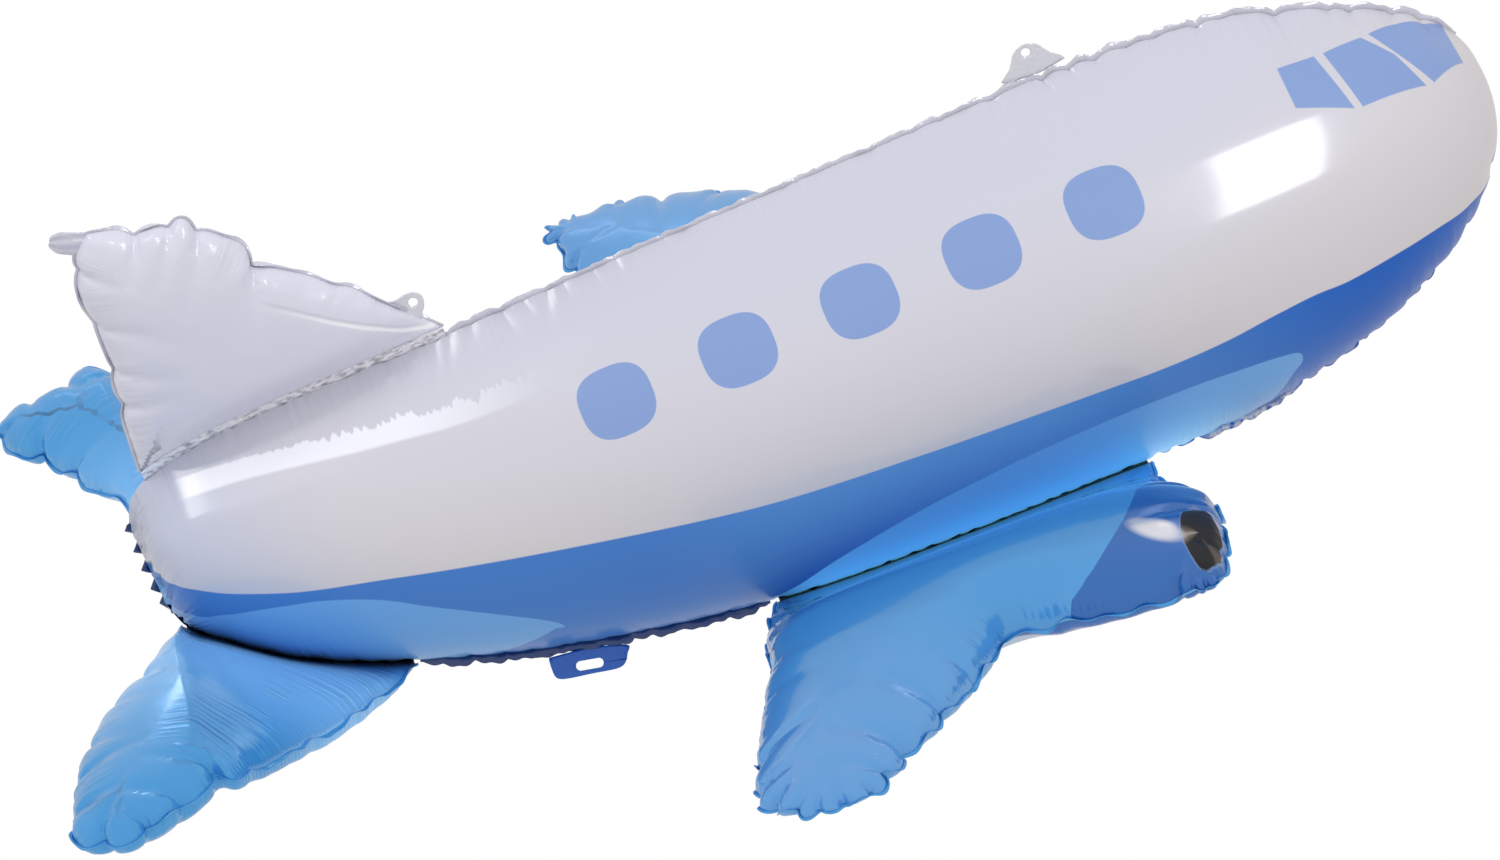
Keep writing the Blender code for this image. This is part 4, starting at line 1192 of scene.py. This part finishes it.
def sealed_film(name, color, **finish):
    """Film of a seam: pressed flat, with the small marks of the heat seal."""
    material, tones = nodes_of(name)
    noise = tones.add("TexNoise", {}, {"Vector": place_of(tones), "Scale": 260.0, "Detail": 2.0})
    return finish_film(material, color, bump(tones, noise, 0.0007, 0.8), **finish)


def front_seam_film(name):
    """Film of the front lower seams: clear for a short way, and blue before and behind that."""
    material, tones = nodes_of(name)
    run = attribute(tones, "run")
    noise = tones.add("TexNoise", {}, {"Vector": place_of(tones), "Scale": 260.0, "Detail": 2.0})
    clear = run.ramp(0.176, 0.190) * (1 - run.ramp(0.246, 0.256))
    color = (clear * noise.ramp(0.3, 0.6)).mix(ROYAL_BLUE, CLEAR_SEAM)
    return finish_film(material, color, bump(tones, noise, 0.0009), 0.15)


def silver_film(name):
    """Crumpled silvery film at the fin's root."""
    material, tones = nodes_of(name)
    where = tones.add("VectorMath", {"operation": "MULTIPLY"},
                      {0: place_of(tones), 1: (160.0, 160.0, 420.0)})
    noise = tones.add("TexNoise", {}, {"Vector": where, "Scale": 1.0, "Detail": 2.0})
    color = noise.ramp(0.30, 0.58).mix(SILVER_LOW, SILVER_HIGH)
    return finish_film(material, color, bump(tones, noise, 0.0010), 0.25, 0.5, 0.3)


def fuselage_places(first, last, step=0.0024):
    """Places along the fuselage, an even step apart on its profile."""
    x = np.linspace(first, last, 4000)
    profile = np.stack([x, fuselage_size(x)[0]], axis=1)
    return even_path(profile, step)[:, 0]


def turns_between(first, last, count, crowd=0.75):
    """Angles between two seams, closer together near both."""
    t = np.linspace(0, 1, count)
    return first + (last - first) * (t * (1 - crowd) + crowd * (1 - np.cos(math.pi * t)) / 2)


def side_skin():
    """The right side panel's film, from the spine to the lower seam."""
    x = fuselage_places(TAIL_X, NOSE_TIP_X)
    turn = turns_between(0, SEAM_TURN, 131)
    grid_x, grid_turn = np.meshgrid(x, turn, indexing="ij")
    points = skin(grid_x, grid_turn)
    steps = np.linalg.norm(np.diff(points, axis=1), axis=2)
    around = np.concatenate([np.zeros((len(x), 1)), np.cumsum(steps, axis=1)], axis=1)
    below = around[:, -1:] - around
    points = gathered(grid_x, grid_turn, around, below)
    values = {"along": grid_x, "around": around, "below": below}
    return grid_mesh("fuselage_skin_right", points, values)


def belly_skin():
    """The belly panel's film, between the lower seams."""
    x = fuselage_places(TAIL_X, NOSE_TIP_X)
    turn = turns_between(SEAM_TURN, 2 * math.pi - SEAM_TURN, 61)
    grid_x, grid_turn = np.meshgrid(x, turn, indexing="ij")
    points = skin(grid_x, grid_turn)
    steps = np.linalg.norm(np.diff(points, axis=1), axis=2)
    across = np.concatenate([np.zeros((len(x), 1)), np.cumsum(steps, axis=1)], axis=1)
    away = np.minimum(across, across[:, -1:] - across)
    points = gathered(grid_x, grid_turn, 0.3 + 0 * away, away)
    return grid_mesh("fuselage_skin_belly", points, {"run": grid_x, "depth": away})


def add_fuselage(side_film, belly_film, white_seal, navy_seal, front_seal):
    side = side_skin()
    add_piece("fuselage_skin_right", side, side_film, "pearl_foil", ["fuselage_side_right"])
    add_piece("fuselage_skin_left", mirrored(side, "fuselage_skin_left"), side_film, "pearl_foil",
              ["fuselage_side_left"])
    add_piece("fuselage_skin_belly", belly_skin(), belly_film, "royal_blue_foil",
              ["fuselage_belly"])
    width = ((-0.27, -0.20, 0.08, 0.20, 0.44), (0.0065, 0.0042, 0.0042, 0.0055, 0.0050))
    spine = seam_strip("spine_flange", FIN_ROOT_X[1], 0.440, 0.0, width, seed=2)
    add_piece("spine_flange", spine, white_seal, "pearl_foil", ["spine_seam"])
    width = ((0.14, 0.172, 0.185, 0.238, 0.255, 0.44),
             (0.0008, 0.0010, 0.0046, 0.0050, 0.0010, 0.0006))
    front = seam_strip("lower_flange_front", WING_ROOT_X[1] + 0.002, 0.440, SEAM_TURN, width,
                       seed=3)
    width = ((-0.37, -0.13), (FLANGE, FLANGE))
    rear = seam_strip("lower_flange_rear", TAILPLANE_ROOT_X[1] + 0.002, WING_ROOT_X[0] - 0.004,
                      SEAM_TURN, width, seed=4)
    for word in ("right", "left"):
        for base, mesh, material, slot, node in (
                ("lower_flange_front_", front, front_seal, "clear_film", "lower_seam_front_"),
                ("lower_flange_rear_", rear, navy_seal, "royal_blue_foil", "lower_seam_rear_")):
            body = mesh if word == "right" else mirrored(mesh, base + word)
            add_piece(base + word, body, material, slot, [node + word])
    heights = np.linspace(*TAIL_FILM, 160)
    reach = 0.0008 + sum(deep * np.maximum(1 - np.abs(heights - at) / TAIL_TOOTH_WIDTH, 0)
                         for at, deep in TAIL_TEETH)
    inner = np.stack([TAIL_X + 0.002 + 0 * heights, 0 * heights, heights], axis=1)
    outer = inner + np.stack([-reach, 0.0016 * np.sin(heights / 0.003), 0 * heights], axis=1)
    add_piece("tail_flange", strip("tail_flange", inner, outer), navy_seal, "pearl_foil",
              ["tail_seam"])


def add_tabs(clear, royal_seal):
    place, along, out = outward_frame(SPINE_TAB_X, 0.0)
    hole = ((0.0, 0.0155), TAB_HOLE / 2, TAB_HOLE / 2)
    film = tab_film("spine_tab_film", SPINE_TAB_OUTLINE, hole, place + out * FLANGE, along, out)
    add_piece("spine_tab_film", film, clear, "clear_film", ["spine_tab"])
    hole = ((0.0, 0.0060), TAB_HOLE / 2, TAB_HOLE / 2)
    foot = np.array(FIN_TAB_HOLE) - np.array(FIN_TAB_OUT) * hole[0][1]
    film = tab_film("fin_tab_film", FIN_TAB_OUTLINE, hole, foot, FIN_TAB_ALONG, FIN_TAB_OUT)
    add_piece("fin_tab_film", film, clear, "clear_film", ["fin_tab"])
    place, along, out = outward_frame(BELLY_TAB_X, SEAM_TURN)
    hole = ((0.0, 0.0090), BELLY_SLOT[0] / 2, BELLY_SLOT[1] / 2)
    film = tab_film("belly_tab_film_right", BELLY_TAB_OUTLINE, hole, place + out * FLANGE,
                    along, out)
    add_piece("belly_tab_film_right", film, royal_seal, "royal_blue_foil", ["belly_tab_right"])
    add_piece("belly_tab_film_left", mirrored(film, "belly_tab_film_left"), royal_seal,
              "royal_blue_foil", ["belly_tab_left"])


def add_pockets(wing_film, tailplane_film, fin_film, light_seal, white_seal):
    for word, wing_rim, rim, notches, seed in (
            ("right", WING_RIM, TAILPLANE_RIM, TAILPLANE_NOTCHES, 31),
            ("left", WING_RIM_LEFT, TAILPLANE_RIM_LEFT, TAILPLANE_NOTCHES_LEFT, 41)):
        wing = pocket("wing_pocket", wing_rim, WING_NOTCHES, 0.0023, 0.66,
                      wing_side(WING_ROOT_X, WING_DIHEDRAL), seed=seed, shares=(1.0, 0.5),
                      thin_tip=0.45, slow=(0.12, 0.13), pinch=(-0.003, 0.190, 0.035))
        tailplane = pocket("tailplane_pocket", rim, notches, 0.0022, 0.60,
                           wing_side(TAILPLANE_ROOT_X, TAILPLANE_DIHEDRAL), seed=seed + 1,
                           slow=(0.4, 0.06))
        for base, pair, film, nodes, rim_nodes in (
                ("wing_", wing, wing_film, ("wing_", "engine_pod_"),
                 ("wing_seam_", "engine_seam_")),
                ("tailplane_", tailplane, tailplane_film, ("tailplane_",),
                 ("tailplane_seam_",))):
            for kind, mesh, material, names in (("film_", pair[0], film, nodes),
                                                ("flange_", pair[1], light_seal, rim_nodes)):
                name = base + kind + word
                body = mesh if word == "right" else mirrored(mesh, name)
                piece = add_piece(name, body, material, "light_blue_foil",
                                  [node + word for node in names])
                kind == "film_"
    fin, fin_rim = pocket("fin_pocket", FIN_RIM, FIN_NOTCHES, 0.0022, 0.62, fin_place, seed=33,
                          slow=(0.65, 0.03))
    piece = add_piece("fin_film", fin, fin_film, "pearl_foil", ["fin"])
    add_piece("fin_flange", fin_rim, white_seal, "pearl_foil", ["fin_seam"])


def add_root_strips(crease_film, silver):
    """The narrow sealed strips between the fuselage and the pockets' roots. Those of the wings and
    tailplanes are drawn near-black, as painted shade of the deep crease there.
    """
    for base, root_x, dihedral, slot in (
            ("wing_", WING_ROOT_X, WING_DIHEDRAL, "engine_blue_foil"),
            ("tailplane_", TAILPLANE_ROOT_X, TAILPLANE_DIHEDRAL, "royal_blue_foil")):
        x = np.linspace(root_x[0] + 0.002, root_x[1] - 0.002, 120)
        place = wing_side(root_x, dihedral)
        mesh = strip("root_strip", *(place(x, np.full(len(x), out), 0.0006 * np.sin(x / 0.002))
                                     for out in (-0.0100, 0.0012)))
        for word in ("right", "left"):
            name = base + "root_strip_" + word
            body = mesh if word == "right" else mirrored(mesh, name)
            add_piece(name, body, crease_film, slot, [base + "root_seal_" + word])
    x = np.linspace(*FIN_ROOT_X, 300)
    random = np.random.default_rng(61)
    rough = np.convolve(random.normal(0, 1, len(x) + 4), np.ones(5) / 5, "valid")
    rows = []
    for share, side in ((0.0, 0.3), (0.35, 1.0), (0.7, -0.4), (1.0, 0.4)):
        low = skin(x, 0 * x)[:, 2] - 0.001
        z = low + share * (FLANGE + 0.0012)
        rows.append(np.stack([x, -0.0009 - 0.0007 * side * rough, z], axis=1))
    mesh = applied(grid_mesh("fin_root_film", np.array(rows)),
                   ("SOLIDIFY", {"thickness": FILM, "offset": 0.0}))
    add_piece("fin_root_film", mesh, silver, "clear_film", ["fin_root_seal"])


def add_filler_tail(film):
    """The filling valve's tongue of film at the fin's upper rear corner."""
    away, across_way = np.array(FILLER_AWAY), np.array(FILLER_ACROSS)
    length, widest = FILLER_SIZE
    share, across = np.meshgrid(np.linspace(0, 1, 16), np.linspace(-1, 1, 13), indexing="ij")
    rounding = np.sqrt(np.maximum(1 - np.maximum(share - 0.62, 0) ** 2 * 6, 0.05))
    half = widest * (1 - 0.12 * share) * rounding
    puff = 0.0022 * np.sin(math.pi * np.clip(share * 0.9 + 0.1, 0, 1)) * (1 - across ** 2)
    ripple = 0.0006 * np.sin(across * 7 + share * 3)
    points = (np.array(FILLER_PLACE) + (share - 0.5)[..., None] * length * away
              + (across * half)[..., None] * across_way
              + (puff + ripple)[..., None] * np.array((0.0, -1.0, 0.0)))
    mesh = applied(grid_mesh("filler_tail_film", points),
                   ("SUBSURF", {"levels": 1, "render_levels": 1}),
                   ("SOLIDIFY", {"thickness": FILLER_FILM, "offset": 0.0}))
    add_piece("filler_tail_film", mesh, film, "pearl_foil", ["filler_tail"])


def main():
    add_camera()
    add_studio()
    lights = [(add_light(*row), words) for *row, words in SOFT_LIGHTS]
    white_seal = sealed_film("white_sealed_film", PEARL)
    clear = sealed_film("clear_sealed_film", CLEAR_FILM, roughness=0.15)
    light_seal = sealed_film("light_blue_sealed_film", LIGHT_BLUE)
    royal_seal = sealed_film("royal_blue_sealed_film", ROYAL_BLUE)
    navy_seal = sealed_film("navy_sealed_film", NAVY)
    add_fuselage(side_print("printed_side_film"), pocket_film("belly_film", ROYAL_BLUE), white_seal,
                 navy_seal, front_seam_film("front_seam_film"))
    add_tabs(clear, royal_seal)
    add_pockets(wing_print("printed_wing_film"), tailplane_print("printed_tailplane_film"),
                fin_print("fin_film"), light_seal, white_seal)
    # The root strips are near-black: painted shade of the deep crease at each root.
    add_root_strips(sealed_film("crease_film", BLACK_INK_AND_SHADE), silver_film("crumpled_silver_film"))
    add_filler_tail(white_seal)
    for light, words in lights:
        keep_light_on(light, words)


main()
